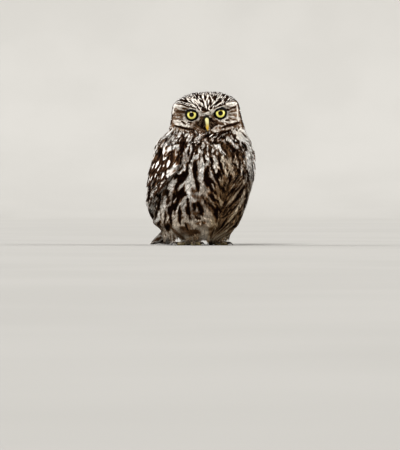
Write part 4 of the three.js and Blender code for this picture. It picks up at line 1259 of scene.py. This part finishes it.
# The face's strokes: tone, half width, and pairs of places across and up in the head's own frame.
FACE_STROKES = [
    [0.8, 2.6, -36.2, 147.6, -29.1, 146.3, -22.7, 142.9], [0.35, 0.8, -24.6, 157, -35, 158.1],
    [0.45, 0.6, -24.6, 153.1, -35.6, 154.3], [0.5, 0.6, -26.2, 149.5, -37.1, 150.3],
    [0.86, 1.2, -25.9, 152.6, -25.1, 147.9, -20.2, 144.8],
    [0.93, 1.1, -36.7, 144.8, -26.9, 142.6, -19.1, 141.2], [0.12, 0.9, -29.1, 147.7, -24.3, 143.7],
    [0.15, 0.9, -21.6, 146.1, -15.3, 144.5],
    [0.03, 1.2, -37.5, 142.3, -30.5, 140.7, -23.7, 138.5, -16.8, 137.4, -11.3, 134.6],
    [0.8, 1.3, -33.7, 139, -35.5, 135.9], [0.92, 1.2, -40, 138.1, -43.2, 133.5],
    [0.92, 0.7, -24.6, 136.8, -19.8, 134], [0.88, 1.1, -41.8, 144.1, -42.5, 139.5],
    [0.1, 2.9, -6.4, 147.1, -3.7, 142.9, -2.3, 137.3], [0.25, 1.6, -11.2, 146.7, -11, 141.9],
    [0.06, 2.7, 5.5, 148.3, 7.1, 142.7, 5.6, 137.9], [0.25, 2.3, 11.3, 146.2, 12.3, 141.3],
    [0.2, 2.8, -8.5, 145, -9.5, 140, -6, 136], [0.28, 1.9, -13.5, 142.5, -13, 138.5],
    [0.2, 2.8, 9, 144.5, 10.5, 139.5], [0.3, 1.9, 14.5, 143.5, 18.5, 141],
    [0.42, 1.9, -6.7, 150.7, -2.9, 149.8], [0.5, 1.6, 6.3, 151.9, 9.2, 149.1],
    [0.6, 0.7, -17.2, 143.9, -10.5, 147.2],
    [0.6, 0.8, -20.3, 140.1, -14.4, 140.9, -9.8, 137.6, -4.9, 135.6], [0.5, 0.6, -12, 141.6, -5.4, 136.5],
    [0.78, 0.9, 4.9, 135.3, 9.3, 138.8, 14.2, 140.3, 19.9, 139.6], [0.55, 0.7, 12.6, 144.6, 19.5, 142.9],
    [0.8, 1.3, 6.7, 134.6, 11.4, 133.2, 16.4, 131.9], [0.68, 0.9, 9.7, 136, 16.8, 134.8],
    [0.03, 1.8, -8.5, 131.5, 1.4, 130.9, 10.2, 130, 19.5, 132.4, 27.5, 133.5],
    [0.04, 1.2, 1.7, 152.4, 1, 150.5], [0.85, 1.2, 24.4, 155.9, 24.4, 149.2, 20.6, 145.3],
    [0.4, 0.7, 27.1, 155.1, 35.2, 156.4], [0.5, 0.6, 26.7, 151.6, 35.4, 150.9],
    [0.92, 1.1, 21.7, 144.4, 27.9, 143.1, 34.6, 144.2], [0.12, 0.8, 26.5, 145.8, 22, 145.8],
    [0.1, 1.5, 37.9, 142.6, 31.5, 140.6, 24.4, 139.7, 17.9, 137.6], [0.95, 0.9, 36.8, 147.9, 37.7, 143.5],
    [0.92, 1.2, 40.5, 136, 35.6, 132.3], [0.7, 1.1, 29, 137.4, 21.9, 135.1],
    [0.84, 2.5, -35.7, 165.4, -29.4, 163.9, -23.3, 162], [0.42, 1.2, -27.2, 162.4, -22.3, 161.2],
    [0.18, 0.7, -36.6, 159.5, -29.6, 159.5, -24, 158.6],
    [0.97, 0.9, -35.3, 167.9, -37.5, 162.8, -38.7, 156], [1, 2.6, 24.8, 164.5, 30.2, 164, 35.3, 164.2],
    [0.12, 0.9, 28.8, 159.4, 35.3, 160.4], [0.92, 0.8, 36.5, 161.8, 36.8, 154.6, 36.4, 147.3],
    [0.08, 1.1, 23, 158.8, 27, 157.3],
    [1, 1.5, -18.6, 161.8, -13.2, 159.9, -9.1, 156.8, -5, 153.9, 0, 154.5, 5.4, 155.7, 10.3, 157.6, 14.9,
    160.2, 20.8, 161.4, 24.3, 159.8], [1, 0.6, -10.7, 160.9, -6.8, 156.4],
    [0.97, 0.6, -7.2, 163.1, -5.3, 157.1], [1, 0.8, -2.1, 178.5, -2.3, 171.4, 0, 166.6, 0.7, 161.1],
    [1, 0.7, 2.3, 178.3, 2.8, 172.2, 3.8, 166.6],
    [1, 0.8, -16.3, 173.1, -9.1, 169.9, -5.6, 165.9, -4.3, 163.6],
    [0.95, 0.7, -22.1, 173.9, -13, 169.7, -9.7, 166.1, -7.5, 161.5],
    [0.9, 0.7, -21.9, 168.3, -14.6, 165.6, -9.8, 160.5], [1, 0.7, 6.1, 175.4, 8.8, 169, 8.4, 165.2],
    [0.9, 0.7, 4.8, 164.9, 3.2, 160.3, 5.5, 158.2, 8.2, 159.8, 8.9, 163.3],
    [0.95, 0.7, 15.8, 169.8, 11.2, 168.3, 9.5, 165], [0.9, 0.7, 22.6, 167.8, 15.5, 165.3, 11.3, 162],
]


def head_paint(points):
    """The marks of the head by place in its own frame: grey-white discs with brown fans from the
    eyes, a dark crown, a nape with a pale V, the breast's marks below the ruff, and the face's
    strokes."""
    place = to_head(points)
    x, y, z = place[..., 0], place[..., 1], place[..., 2]
    side = np.abs(x)
    from_eye = np.hypot(side - EYE_X, z - EYE_Z)
    spread = np.arctan2(z - EYE_Z, side - EYE_X)
    fan = 0.5 + 0.5 * np.sin(spread * 23 + 1.5 * ripples(place, 10, 3))
    tone = 0.74 + 0.1 * ripples(place, 5, 4) - 0.26 * fan * smooth((from_eye - 9) / 4)
    facing = smooth((-y - 8) / 10)
    crown = smooth((z - brow_line(x) + 0.6) / 1.6)
    tone = mix(tone, 0.06 + 0.04 * ripples(place, 6, 8), crown)
    nape = smooth((5.5 - np.abs(z - 136 - 0.5 * side)) / 4)
    nape = nape * smooth((y - 6) / 8) * smooth((27 - side) / 7)
    hind = 0.12 + 0.05 * ripples(place, 12, 6) + 0.5 * nape * (0.7 + 0.6 * ripples(place, 5, 7))
    tone = mix(hind, tone, facing)
    low = smooth((133.5 - z + 0.12 * side) / 2.5) * smooth((-y + 5) / 10)
    tone = mix(tone, body_paint(points)["ground"], low)
    front = draw_strokes(tone.copy(), x, z, FACE_STROKES)
    tone = mix(tone, front, smooth((-y - 4) / 6))
    return {"ground": np.clip(tone, 0, 1), "buff": 0.25 * facing}


def head_marks(place, seed):
    """White streaks on crown feathers and spots on the nape's, and none on the face's."""
    rng = seeded(seed)
    x, y, z = place.T
    count = len(x)
    patch = (np.hypot((np.abs(x) - 31) / 9, (z - 163.5) / 4.5) < 1) & (y < -8)
    crown = ((z > brow_line(x) + 1.5) & ~patch) | ((y > -8) & (z > 128))
    behind = y > 12
    streak = rng.uniform(0.2, 0.42, count) * (rng.random(count) > 0.16)
    return {
        "ink": np.full(count, 0.98),
        "streak": np.where(crown & ~behind, streak, 0),
        "spot": np.where(crown & behind, rng.uniform(0.5, 0.95, count), 0),
        "tint": rng.normal(0, 0.25, count),
    }


# The opening's half width, the rim's width, and the distance from the pupil at which it ends
# under the feathers.
EYE_HALF = 5.35
RIM_WIDTH = 1.7
RIM_END = 8.25
# The rim's inner and outer corner: the way there in degrees, its spread and its reach.
EYE_CORNERS = [(20, 20, 0.9), (210, 20, 1.3)]


def eye_opening(level, upper):
    """The eye's opening and its bare rim's outer edge, in each direction from the middle of the
    pupil, given by its parts outwards and upwards. The opening is a circle cut off above by a
    brow line that rises outwards. The rim is drawn out to the inner and the outer corner."""
    brow = 3.8 / np.maximum(upper - 0.27 * level, 0.05)
    inner = (EYE_HALF**-8 + brow**-8.0) ** (-1 / 8)
    turn = np.arctan2(upper, level) / DEGREE
    corners = sum(reach * hump((turn - at + 180) % 360 - 180, wide) for at, wide, reach in EYE_CORNERS)
    return inner, inner + RIM_WIDTH + corners


def clear_of_eyes(place):
    """True away from the eyes' rims and the bill."""
    x, y, z = place.T
    level, upper = np.abs(x) - EYE_X - 0.8, z - EYE_Z
    away = np.hypot(level, upper)
    rim = eye_opening(level / away, upper / away)[1]
    bill = (np.abs(x) < 2.6) & (z < 149) & (z > 134)
    return ~(((away < rim - 0.5) | bill) & (y < -8))


def head_feathers(spacing, length, width, face_only, seed):
    """Small feathers over the head, of one spacing: the face's, or all the others."""
    ray = scatter_head(spacing, seed)
    x, y, z = on_head(ray).T
    on_face = (y < -14) & (z < brow_line(x) + 3)
    keep = clear_of_eyes(on_head(ray)) & (z > 124) & (on_face == face_only)
    place, bed = head_bed(ray[keep], 7, seed + 1)
    rng = seeded(seed + 2)
    count = len(place)
    marks = head_marks(place, seed + 3)
    length = length * rng.uniform(0.8, 1.2, count)
    width = width * rng.uniform(0.8, 1.2, count)
    if face_only:
        room = np.hypot(np.abs(place[:, 0]) - EYE_X, place[:, 2] - EYE_Z) - 6
        length = length * np.clip(room / 8, 0.5, 1.1)
    rise = (-1.4, 0.1 + 0.4 * rng.random(count))
    vanes = grow(VANE, settle_on_head, bed, marks, length, width, rise, seed + 4, ragged=0.1,
                 paint=head_paint)
    return vanes, (bed, length, width, marks)


skin_parts = [body_skin(), head_skin(), leg_skin(1), leg_skin(-1)]
for part, paint in zip(skin_parts, [body_paint, head_paint, None, None]):
    count = len(part["points"])
    part["marks"] = {key: np.zeros(count) for key in MARK_NAMES}
    part["marks"]["ground"] = np.full(count, 0.6)
    part["marks"].update(paint(part["points"]) if paint else {})
make_piece("skin", joined_arrays(skin_parts), coat_finish,
           ("torso", "neck", "head", "leg_left", "leg_right"))

breast_vanes, breast = breast_feathers(137, 84, 9.5, 4.6, 11)
belly_vanes, belly = breast_feathers(84, 16, 12.5, 5.0, 21)
fluff_vanes, fluff = thigh_fluff()
both_legs = joined_arrays([leg_fluff(1), leg_fluff(-1)])
make_piece("breast_feathers", breast_vanes, coat_finish)
make_piece("belly_feathers", belly_vanes, coat_finish)
make_piece("back_feathers", back_feathers(), coat_finish)
make_piece("thigh_fluff", fluff_vanes, coat_finish)
make_piece("leg_fluff", both_legs, coat_finish)
for name, feathers, seed in [("breast_barbs", breast, 25), ("belly_barbs", belly, 27)]:
    barbs = barbs_over(feathers, settle_on_body, 8, seed, barb_rise(feathers), paint=body_paint)
    make_piece(name, barbs, coat_finish)
fluff_barbs = barbs_over(fluff, settle_as_skirt, 8, 29, paint=body_paint)
make_piece("fluff_barbs", fluff_barbs, coat_finish)

crown_vanes, crown = head_feathers(3.5, 8.0, 4.0, False, 31)
face_vanes, _ = head_feathers(1.6, 5.0, 1.8, True, 41)
make_piece("crown_feathers", crown_vanes, coat_finish)
make_piece("face_feathers", face_vanes, coat_finish)
head_barbs = barbs_over(crown, settle_on_head, 4, 51, (-0.4, 0.4), 0.5, head_paint)
make_piece("head_barbs", head_barbs, coat_finish)

# wings and tail


def wing_place(side, s, t, lift):
    """A point over the mantle: s goes from the shoulder to the wing's tip, t from its leading
    edge towards the back, and the lift is added to the section's half sizes. The left wing lies
    closer than the right one."""
    z = mix(WING_TOP, WING_TIP_Z, s)
    angle = mix(leading_edge(s)[..., 0], inner_edge(s)[..., 0], t)
    lift = lift - 1.4 * side
    row = mantle_at(z) + np.stack([lift, -lift, lift], -1)
    return section_place(row, side * angle, z, BODY_SQUARENESS)


# Each tier of vanes: its name and number, where the roots lie (s, then t) and where the tips lie
# (s, then t) for its first and last vane, its vanes' width, and its first and last vane's lift.
WING_TIERS = [
    ("primaries", 9, (0.5, 0.52), (0.1, 0.42), (0.99, 0.84), (0.2, 0.72), 11.0, (-0.4, 0.5)),
    ("secondaries", 9, (0.32, 0.36), (0.2, 0.64), (0.71, 0.79), (0.14, 0.82), 11.5, (0.5, 1.1)),
    ("tertials", 4, (0.28, 0.32), (0.68, 0.9), (0.7, 0.6), (0.76, 0.99), 14.0, (1.3, 1.8)),
    ("primary_coverts", 5, (0.32, 0.36), (0.06, 0.24), (0.56, 0.6), (0.04, 0.26), 9.0, (0.9, 1.2)),
    ("greater_coverts", 10, (0.2, 0.24), (0.12, 0.76), (0.46, 0.52), (0.1, 0.82), 12.0, (1.4, 1.8)),
    ("median_coverts", 9, (0.08, 0.13), (0.1, 0.72), (0.33, 0.37), (0.06, 0.76), 13.0, (1.8, 2.2)),
]


def flight_width(v, past, least):
    """A flight feather's share of its full width along it: it widens from the root and is round
    at the tip, where past goes from 0 to over 1."""
    swell = 0.66 + 0.34 * smooth(v * 2.2)
    return swell * np.sqrt(np.maximum(least, 1 - np.maximum(0, past) ** 2))


def flight_vanes(side, tier, seed):
    """One tier of a folded wing: vanes from a root place to a tip place on the mantle, spread
    evenly from the leading edge towards the back, each lying on the one in front of it. Small
    steps down and over the mantle give the way to each side, and the shares s and t of a reach
    that way."""
    name, count, root, root_span, tip, tip_span, width, lift = tier
    rng = seeded(seed)
    share = np.linspace(0, 1, count)[:, None]
    u, v, top = FLIGHT[:3]
    is_flight = name in ("primaries", "secondaries", "tertials")
    s_from, t_from = mix(*root, share), mix(*root_span, share)
    s_to = mix(*tip, share) + rng.normal(0, 0.006 if is_flight else 0.02, (count, 1))
    t_to = mix(*tip_span, share) + rng.normal(0, 0.004, (count, 1))
    s0, t0 = mix(s_from, s_to, v), mix(t_from, t_to, v)
    level = np.zeros_like(s0)
    step = 1e-3
    here = wing_place(side, s0, t0, level)
    down = wing_place(side, s0 + step, t0, level) - here
    over = wing_place(side, s0, t0 + step, level) - here
    ahead = down * (s_to - s_from)[..., None] + over * (t_to - t_from)[..., None]
    sideways = unit(np.cross(unit(np.cross(down, over)), ahead))
    sideways *= np.sign((sideways * over).sum(-1, keepdims=True))
    reach = u * 0.5 * width * flight_width(v, (v - 0.62) / 0.42, 0.02)
    dd, da, aa = ((p * q).sum(-1) for p, q in [(down, down), (down, over), (over, over)])
    ds, dt = ((sideways * p).sum(-1) * reach for p in (down, over))
    s = s0 + step * (ds * aa - dt * da) / (dd * aa - da * da)
    t = t0 + step * (dt * dd - ds * da) / (dd * aa - da * da)
    risen = v**0.6
    height = mix(-1.4, mix(*lift, share), risen) - 0.5 * risen * u
    height = height + np.where(top > 0, 0.22 * (1 - u**2), -0.2) * (1 - 0.5 * v)
    edges = smooth((np.abs(u) - 0.78) / 0.22) * smooth(v / 0.4)
    marks = {
        "ground": 0.14 + 0.08 * rng.random((count, 1)) + 0.22 * edges,
        "ink": 0.8 if is_flight else 0.92,
        "spot": 0.0 if is_flight else rng.uniform(0.1, 0.7, count),
        "bars": 0.8 if is_flight else 0.0,
        "tint": rng.normal(0, 0.2, count),
    }
    bake = np.hstack([mix(t_from, t_to, 0.3) * 0.9 + 0.03, 1 - mix(s_from, s_to, 0.3)])
    return vane_batch(FLIGHT, wing_place(side, s, t, height), bake, marks)


def covert_feathers():
    """Small spotted coverts, scapulars and back feathers over the wings' roots and the back."""
    def over_wing(angle, z):
        edge = np.maximum(wing_front(z) - 3, flank_edge(z) - 16)
        return (np.abs(angle) > edge) & (z > mix(86, 62, smooth((np.abs(angle) - 120) / 40)))

    angle, z = scatter_body(LINES_TOP, 60, 6.2, 8.2, 71, over_wing)
    root, out, lie, bake = body_bed(angle, z, 5, 72)
    rng = seeded(73)
    count = len(z)
    length = rng.uniform(15, 20, count)
    width = rng.uniform(9, 11.5, count)
    marks = back_marks(count, 74)
    marks["spot"] = marks["spot"] * smooth((np.abs(angle) - 84) / 20)
    ground = np.repeat(marks["ground"][:, None], len(VANE[0]), 1)

    def covert_paint(points):
        """The vane's own tone, barred near the body's sides, the breast's marks in front on the
        left, and the shoulder's strokes."""
        where = body_angle(points)
        front = smooth((104 - np.abs(where)) / 22)
        edge = 0.5 + 0.4 * np.sin(where * 1.9 + 2.4 * ripples(points, 14, 76))
        tone = mix(ground, edge, front * 0.8)
        painted = body_paint(points)["ground"]
        tone = mix(tone, painted, smooth((90 - np.abs(where)) / 10) * (where > 0))
        arc = where * ARC_PER_DEGREE
        return {"ground": draw_strokes(tone, arc, points[..., 2], BODY_STROKES, ARC_PER_DEGREE)}

    closer = np.where(angle > 0, 1.6, -1.0)
    rise = (-0.6 - closer, 1.6 + 0.6 * rng.random(count) - closer)
    bed = settle_on_mantle(root), out, lie, bake
    return grow(VANE, settle_on_mantle, bed, marks, length, width, rise, 75, ragged=0.08,
                paint=covert_paint)


def tail_place(q, across, drop):
    """A point of the tail: q goes from its root to its tip, across is sideways, and the drop is
    how far it lies under the tail's upper face."""
    z = mix(TAIL_ROOT[2], TAIL_TIP_HEIGHT, 1 - (1 - q) ** 1.2)
    points = np.stack([across, q * TAIL_REACH, z - drop], -1)
    return points @ level_turn(TAIL_SWING).T + TAIL_ROOT * [1, 1, 0]


def tail_feathers():
    """Twelve tail feathers, the middle pair on top and each next pair lower and further out."""
    u, v, top = FLIGHT[:3]
    pair = np.repeat(np.arange(6), 2)[:, None]
    out = np.tile([-1, 1], 6)[:, None] * (pair + 0.5)
    across = out * mix(1.0, 2.1, v) + u * 6.2 * flight_width(v, (v - 0.74) / 0.3, 0.03)
    drop = pair * 0.42 + 0.3 * u**2 + np.where(top > 0, 0.0, 0.5)
    points = tail_place(v * (1 - 0.012 * pair), across, drop)
    rng = seeded(81)
    pale = np.maximum(smooth((np.abs(u) - 0.82) / 0.16) * (pair > 3), smooth((v - 0.95) / 0.04))
    marks = {
        "ground": 0.24 + 0.06 * rng.random((12, 1)) + 0.55 * pale,
        "ink": 0.85,
        "bars": 0.75,
        "tint": rng.normal(0, 0.15, 12),
    }
    return vane_batch(FLIGHT, points, np.hstack([0.5 + 0.07 * out, np.full((12, 1), 0.5)]), marks)


SIDES = [(1, "left"), (-1, "right")]
for side, name in SIDES:
    tiers = joined_arrays([flight_vanes(side, tier, 60 + k) for k, tier in enumerate(WING_TIERS)])
    make_piece(f"wing_feathers_{name}", tiers, coat_finish, (f"wing_{name}",))
make_piece("covert_feathers", covert_feathers(), coat_finish)
make_piece("tail_feathers", tail_feathers(), coat_finish, ("tail",))

# eyes, bill and feet


def eye_turned(side, points):
    """From an eyeball's own frame, looking along -Y, to the bird's frame."""
    middle = np.array([side * EYE_X, EYE_FRONT_Y + EYE_RADIUS, EYE_Z])
    return in_head(points @ level_turn(side * EYE_SPLAY).T + middle)


def eyeball(side):
    """A globe by the angle from its line of sight and the angle round it, with the cornea a
    little proud. Its surface place is the globe seen along its line of sight, 0.5 in the middle
    and the edge 0.5 away."""
    off = np.linspace(0.004, math.pi - 0.01, 40)
    round_it = np.linspace(0, 2 * math.pi, 56, endpoint=False)
    off, round_it = np.meshgrid(off, round_it, indexing="ij")
    level, upper = np.cos(round_it), np.sin(round_it)
    radius = EYE_RADIUS + 0.35 * hump(off, 0.6)
    away = radius * np.sin(off)
    points = np.stack([away * level, -radius * np.cos(off), away * upper], -1)
    flat = 0.5 * np.where(off < math.pi / 2, np.sin(off), 1.0)
    return closed_rings(eye_turned(side, points), 0.5 + np.stack([flat * level, flat * upper], -1))


def lids(side):
    """The eye's bare dark rim: a band close over the globe from the opening's edge outwards, and
    on under the feathers round it."""
    round_it = np.linspace(0, 2 * math.pi, 96, endpoint=False)
    level, upper = np.cos(round_it), np.sin(round_it)
    inner, outer = eye_opening(level, upper)
    under = np.full(len(level), RIM_END)
    profile = [
        (inner, -0.2), (inner, 0.35), (inner + 0.25, 0.6), (mix(inner, outer, 0.6), 0.65),
        (outer, 0.35), (mix(outer, under, 0.5), 0.12), (under, 0.05), (under, -1.0),
    ]
    rings = []
    for distance, lift in profile:
        off = np.arcsin(np.clip(distance / (EYE_RADIUS + 0.3), 0, 0.985))
        radius = EYE_RADIUS + 0.4 + lift
        away = radius * np.sin(off)
        rings.append(np.stack([side * away * level, -radius * np.cos(off), away * upper], -1))
    return closed_rings(eye_turned(side, np.array(rings)), loop=True)


for side, name in SIDES:
    make_piece(f"eyeball_{name}", eyeball(side), iris_finish, (f"eye_{name}",))
make_piece("eyelids", joined_arrays([lids(1), lids(-1)]), lid_finish)

BILL_HALF = 2.6
NOSTRIL = (2.9, -43.2, 149.4)
t = np.linspace(0, 1, 30)
upper_line = bezier([(0, -30, 148), (0.4, -45.5, 150.5), (0.8, -50.5, 143.4), (1, -47.2, 134.8)], t)
upper_half = BILL_HALF * (1 - 0.75 * t**2.4) * (1 - t**9) ** 0.5 + 0.12
upper_shape = tube(upper_line, upper_half, 4.6 * (1 - 0.94 * t**1.4), 28, 1.8)
lower_line = bezier([(0, -30, 142.2), (0, -44.6, 144.4), (0, -46.4, 137)], t)
lower_shape = tube(lower_line, BILL_HALF * (1 - 0.8 * t**2), 1.7 * (1 - 0.8 * t**2))
cere_line = bezier([(0, -31, 148.6), (0.2, -39.5, 150), (0.5, -43.6, 148.2)], t)
cere_shape = tube(cere_line, 3.9 - 0.8 * t**3, 4.7 - 1.2 * t**3, 56)
for side in (1, -1):
    away = np.linalg.norm(cere_shape - np.array(NOSTRIL) * [side, 1, 1], axis=-1, keepdims=True)
    cere_shape = cere_shape + hump(away, 0.8) * [0, 1.1, -0.2]
for name, shape, finish, slot, node_name in [
    ("bill_upper_horn", upper_shape, horn_finish, "bill_horn", "bill_upper"),
    ("bill_lower_horn", lower_shape, horn_finish, "bill_horn", "bill_lower"),
    ("cere_cover", cere_shape, cere_finish, "cere_skin", "cere"),
]:
    make_piece(name, closed_rings(in_head(shape)), finish, (node_name,))


def bill_bristles():
    """Fine stiff feathers that fan out from both sides of the bill's root, down over its sides
    and forwards."""
    rng = seeded(57)
    count = 260
    side = np.where(np.arange(count) % 2, 1.0, -1.0)
    spread = rng.random(count)
    height = mix(149.4, 145.5, rng.random(count))
    root = np.stack([side * mix(1.2, 4.6, spread), mix(-43.6, -37.5, spread), height], -1)
    turn = side * mix(8, 64, spread**1.2) * DEGREE
    lie = unit(np.stack([np.sin(turn), -rng.uniform(0.25, 0.6, count), -np.cos(turn)], -1))
    out = np.cross(lie, np.stack([np.cos(turn), np.zeros(count), np.sin(turn)], -1))
    out = unit(np.where(out[:, 1:2] > 0, -out, out))
    tone = np.where(rng.random(count) < 0.3, 0.6, 0.07)
    marks = {"ground": tone, "buff": 0.7, "tint": rng.normal(0, 0.3, count)}
    bake = np.stack([0.5 + 0.02 * side, 0.3 + 0.05 * spread], -1)
    bed = in_head(root), out @ HEAD_MATRIX.T, lie @ HEAD_MATRIX.T, bake
    length = rng.uniform(4.5, 9.5, count)
    return grow(BRISTLE, as_it_lies, bed, marks, length, 0.6, (0, 0.4), 58, ragged=0, down=True,
                camber=0, thickness=0.22, stray=0.16)


make_piece("bill_bristles", bill_bristles(), coat_finish)

# Each toe's name, its turn outwards from straight ahead, and its length.
TOES = [("inner", -8, 17), ("middle", 24, 21), ("outer", 104, 18), ("hind", 172, 12)]
ANKLE_Z = 5.0
CLAW_LENGTH = 9.5
toe_knots = table_reader(
    [[0, 0, 0.05, ANKLE_Z], [0.37, 0, -0.35, 3.6], [0.72, 0, -0.7, 1.97], [1, 0, -1, 1.9]])


def toe_line(share, length):
    """The middle of a toe in its own frame, from the ankle along -Y."""
    return toe_knots(share) * np.array([1, length, 1])


def toe_half(share):
    """A toe's half thickness at a share of its length, swollen at its joints and round at its end."""
    swell = 1 + 0.08 * np.cos(share * 6 * math.pi)
    return mix(3.1, 2.06, share) * swell * np.where(share > 0.9, 1.02 - 2.5 * (share - 0.9), 1)


def on_foot(side, turn, points):
    """From a toe's own frame to the bird's frame."""
    return points @ level_turn(side * turn).T + np.array([side * LEG_X, LEG_Y, 0])


def toe(side, turn, length):
    """One toe: a tube along a line down from the ankle."""
    share = np.linspace(0, 1, 30)
    half = toe_half(share)
    shape = tube(toe_line(share, length), half, half, 18)
    shape[..., 2] = np.maximum(shape[..., 2], 0.02)
    return closed_rings(on_foot(side, turn, shape))


def claw(side, turn, length):
    """One claw: a tapered tube along a hooked line from the toe's end down to the ground."""
    share = np.linspace(0, 1, 20)
    start = 1.5 - length
    bend = start - CLAW_LENGTH * 0.75
    line = bezier([(0, start, 2.4), (0, bend, 4.4), (0, start - CLAW_LENGTH, 0.35)], share)
    half = 1.5 * (1 - 0.9 * share**1.3)
    return closed_rings(on_foot(side, turn, tube(line, half * 0.85, half, 14)))


def toe_bristles(side, turn, length, seed):
    """Fine pale bristles over the upper half of one toe, lying along it. Each root lies on the
    toe's tube at a share of its length and an angle from its top."""
    rng = seeded(seed)
    count = 80
    share, roll = rng.uniform(0.02, 0.82, count), rng.uniform(-75, 75, count) * DEGREE
    out = np.stack([np.sin(roll), np.zeros(count), np.cos(roll)], -1)
    root = toe_line(share, length) + out * toe_half(share)[:, None]
    lie = np.stack([rng.normal(0, 0.2, count), np.full(count, -1), rng.normal(-0.12, 0.08, count)], -1)
    matrix = level_turn(side * turn).T
    ahead = np.array([math.sin(turn * DEGREE), math.cos(turn * DEGREE)])
    bed = on_foot(side, turn, root), out @ matrix, level_with(out, unit(lie)) @ matrix
    bed = *bed, 0.5 + 0.3 * ahead * share[:, None]
    marks = {"ground": rng.uniform(0.45, 0.95, count), "buff": 0.6}
    return grow(BARB, as_it_lies, bed, marks, rng.uniform(2.2, 4.2, count), 0.7, (-0.25, 0.35),
                seed + 1, ragged=0, down=True, camber=0, thickness=0.2, stray=0.06)


for side, name in SIDES:
    toes = [toe(side, *sizes) for _, *sizes in TOES]
    claws = [claw(side, *sizes) for _, *sizes in TOES]
    claw_nodes = tuple(f"claw_{name}_{toe_name}" for toe_name, *_ in TOES)
    bristles = [toe_bristles(side, *sizes, 300 + 2 * k) for k, (_, *sizes) in enumerate(TOES)]
    make_piece(f"toe_bristles_{name}", joined_arrays(bristles), coat_finish)
    make_piece(f"toes_{name}", joined_arrays(toes), toe_finish, (f"foot_{name}",))
    make_piece(f"claws_{name}", joined_arrays(claws), claw_finish, claw_nodes)

# stage, lights and camera


def floor_bowl():
    """A round floor that rises at its far edge: rings by their distance from the middle, with a
    height of the rise times one minus the cosine of the share of the way up. It is open above."""
    up = np.linspace(0, math.pi / 2, 16)
    out = np.r_[0.01, 1, 3, 5.5, 5.5 + 1.5 * np.sin(up[1:])] * METRE
    high = np.r_[0, 0, 0, 0, 1.5 * (1 - np.cos(up[1:]))] * METRE
    around = 96
    turn = np.linspace(0, 2 * math.pi, around, endpoint=False)
    out, turn = np.meshgrid(out, turn, indexing="ij")
    high = np.repeat(high[:, None], around, 1)
    bowl = closed_rings(np.stack([out * np.cos(turn), out * np.sin(turn), high], -1))
    bowl["loops"], bowl["sizes"] = bowl["loops"][:-around], bowl["sizes"][:-1]
    return bowl


def face_along(thing, place, aim):
    """Places a lamp or camera and points it at its aim, upright."""
    thing.location = place
    thing.rotation_euler = (Vector(aim) - Vector(place)).to_track_quat("-Z", "Y").to_euler()


make_piece("floor_sweep", floor_bowl(), floor_finish, stage=True)
# The directions of the photo's view: towards the camera, to the picture's right, and up.
view = -HEAD_TURN * DEGREE
forward = np.array([-math.sin(view), -math.cos(view), 0])
right = np.array([math.cos(view), -math.sin(view), 0])
UP = np.array([0, 0, 1])
# Wide, even lights: their names, their ways forward, right and up, their spread in degrees, their
# power and their part in gloss.
for name, ahead, aside, high, spread, power, shine in [
    ("key", 1.2, -0.5, 1.3, 24, 2.4, 1),
    ("fill", 0.5, 1.6, 0.9, 40, 2.2, 0.1),
    ("rim", -0.1, -1.5, 1.0, 30, 1.3, 0.2),
]:
    light = bpy.data.lights.new(name, "SUN")
    light.angle = spread * DEGREE
    light.energy = power
    light.specular_factor = shine
    lamp_place = forward * ahead + right * aside + UP * high
    face_along(linked(name, light), lamp_place, (0.0, 0.0, 0.09))
world = bpy.data.worlds.new("studio")
world.use_nodes = True
world.node_tree.nodes["Background"].inputs["Color"].default_value = (1.0, 0.985, 0.96, 1)
world.node_tree.nodes["Background"].inputs["Strength"].default_value = 0.4
bpy.context.scene.world = world
bpy.context.scene.view_settings.view_transform = "Standard"
bpy.context.scene.view_settings.look = "Medium High Contrast"

# The photo's millimetres a pixel and its width in pixels; the camera's distance in metres, its
# elevation, where it aims to the side of the bird's middle and above the ground, in metres, and
# its sensor's width in millimetres.
PHOTO_MM = 1.17
PHOTO_WIDTH = 400
DISTANCE = 4.0
ELEVATION = 0.4 * DEGREE
AIM_ASIDE = -5.6 * MM
AIM_HEIGHT = 0.0238
SENSOR_WIDTH = 36
camera_data = bpy.data.cameras.new("camera")
camera_data.sensor_fit = "HORIZONTAL"
camera_data.sensor_width = SENSOR_WIDTH
camera_data.lens = SENSOR_WIDTH * DISTANCE / (PHOTO_WIDTH * PHOTO_MM * MM)
camera = linked("camera", camera_data)
aim = right * AIM_ASIDE + np.array([0, BACK * MM, AIM_HEIGHT])
face_along(camera, aim + DISTANCE * (forward * math.cos(ELEVATION) + UP * math.sin(ELEVATION)), aim)
bpy.context.scene.camera = camera
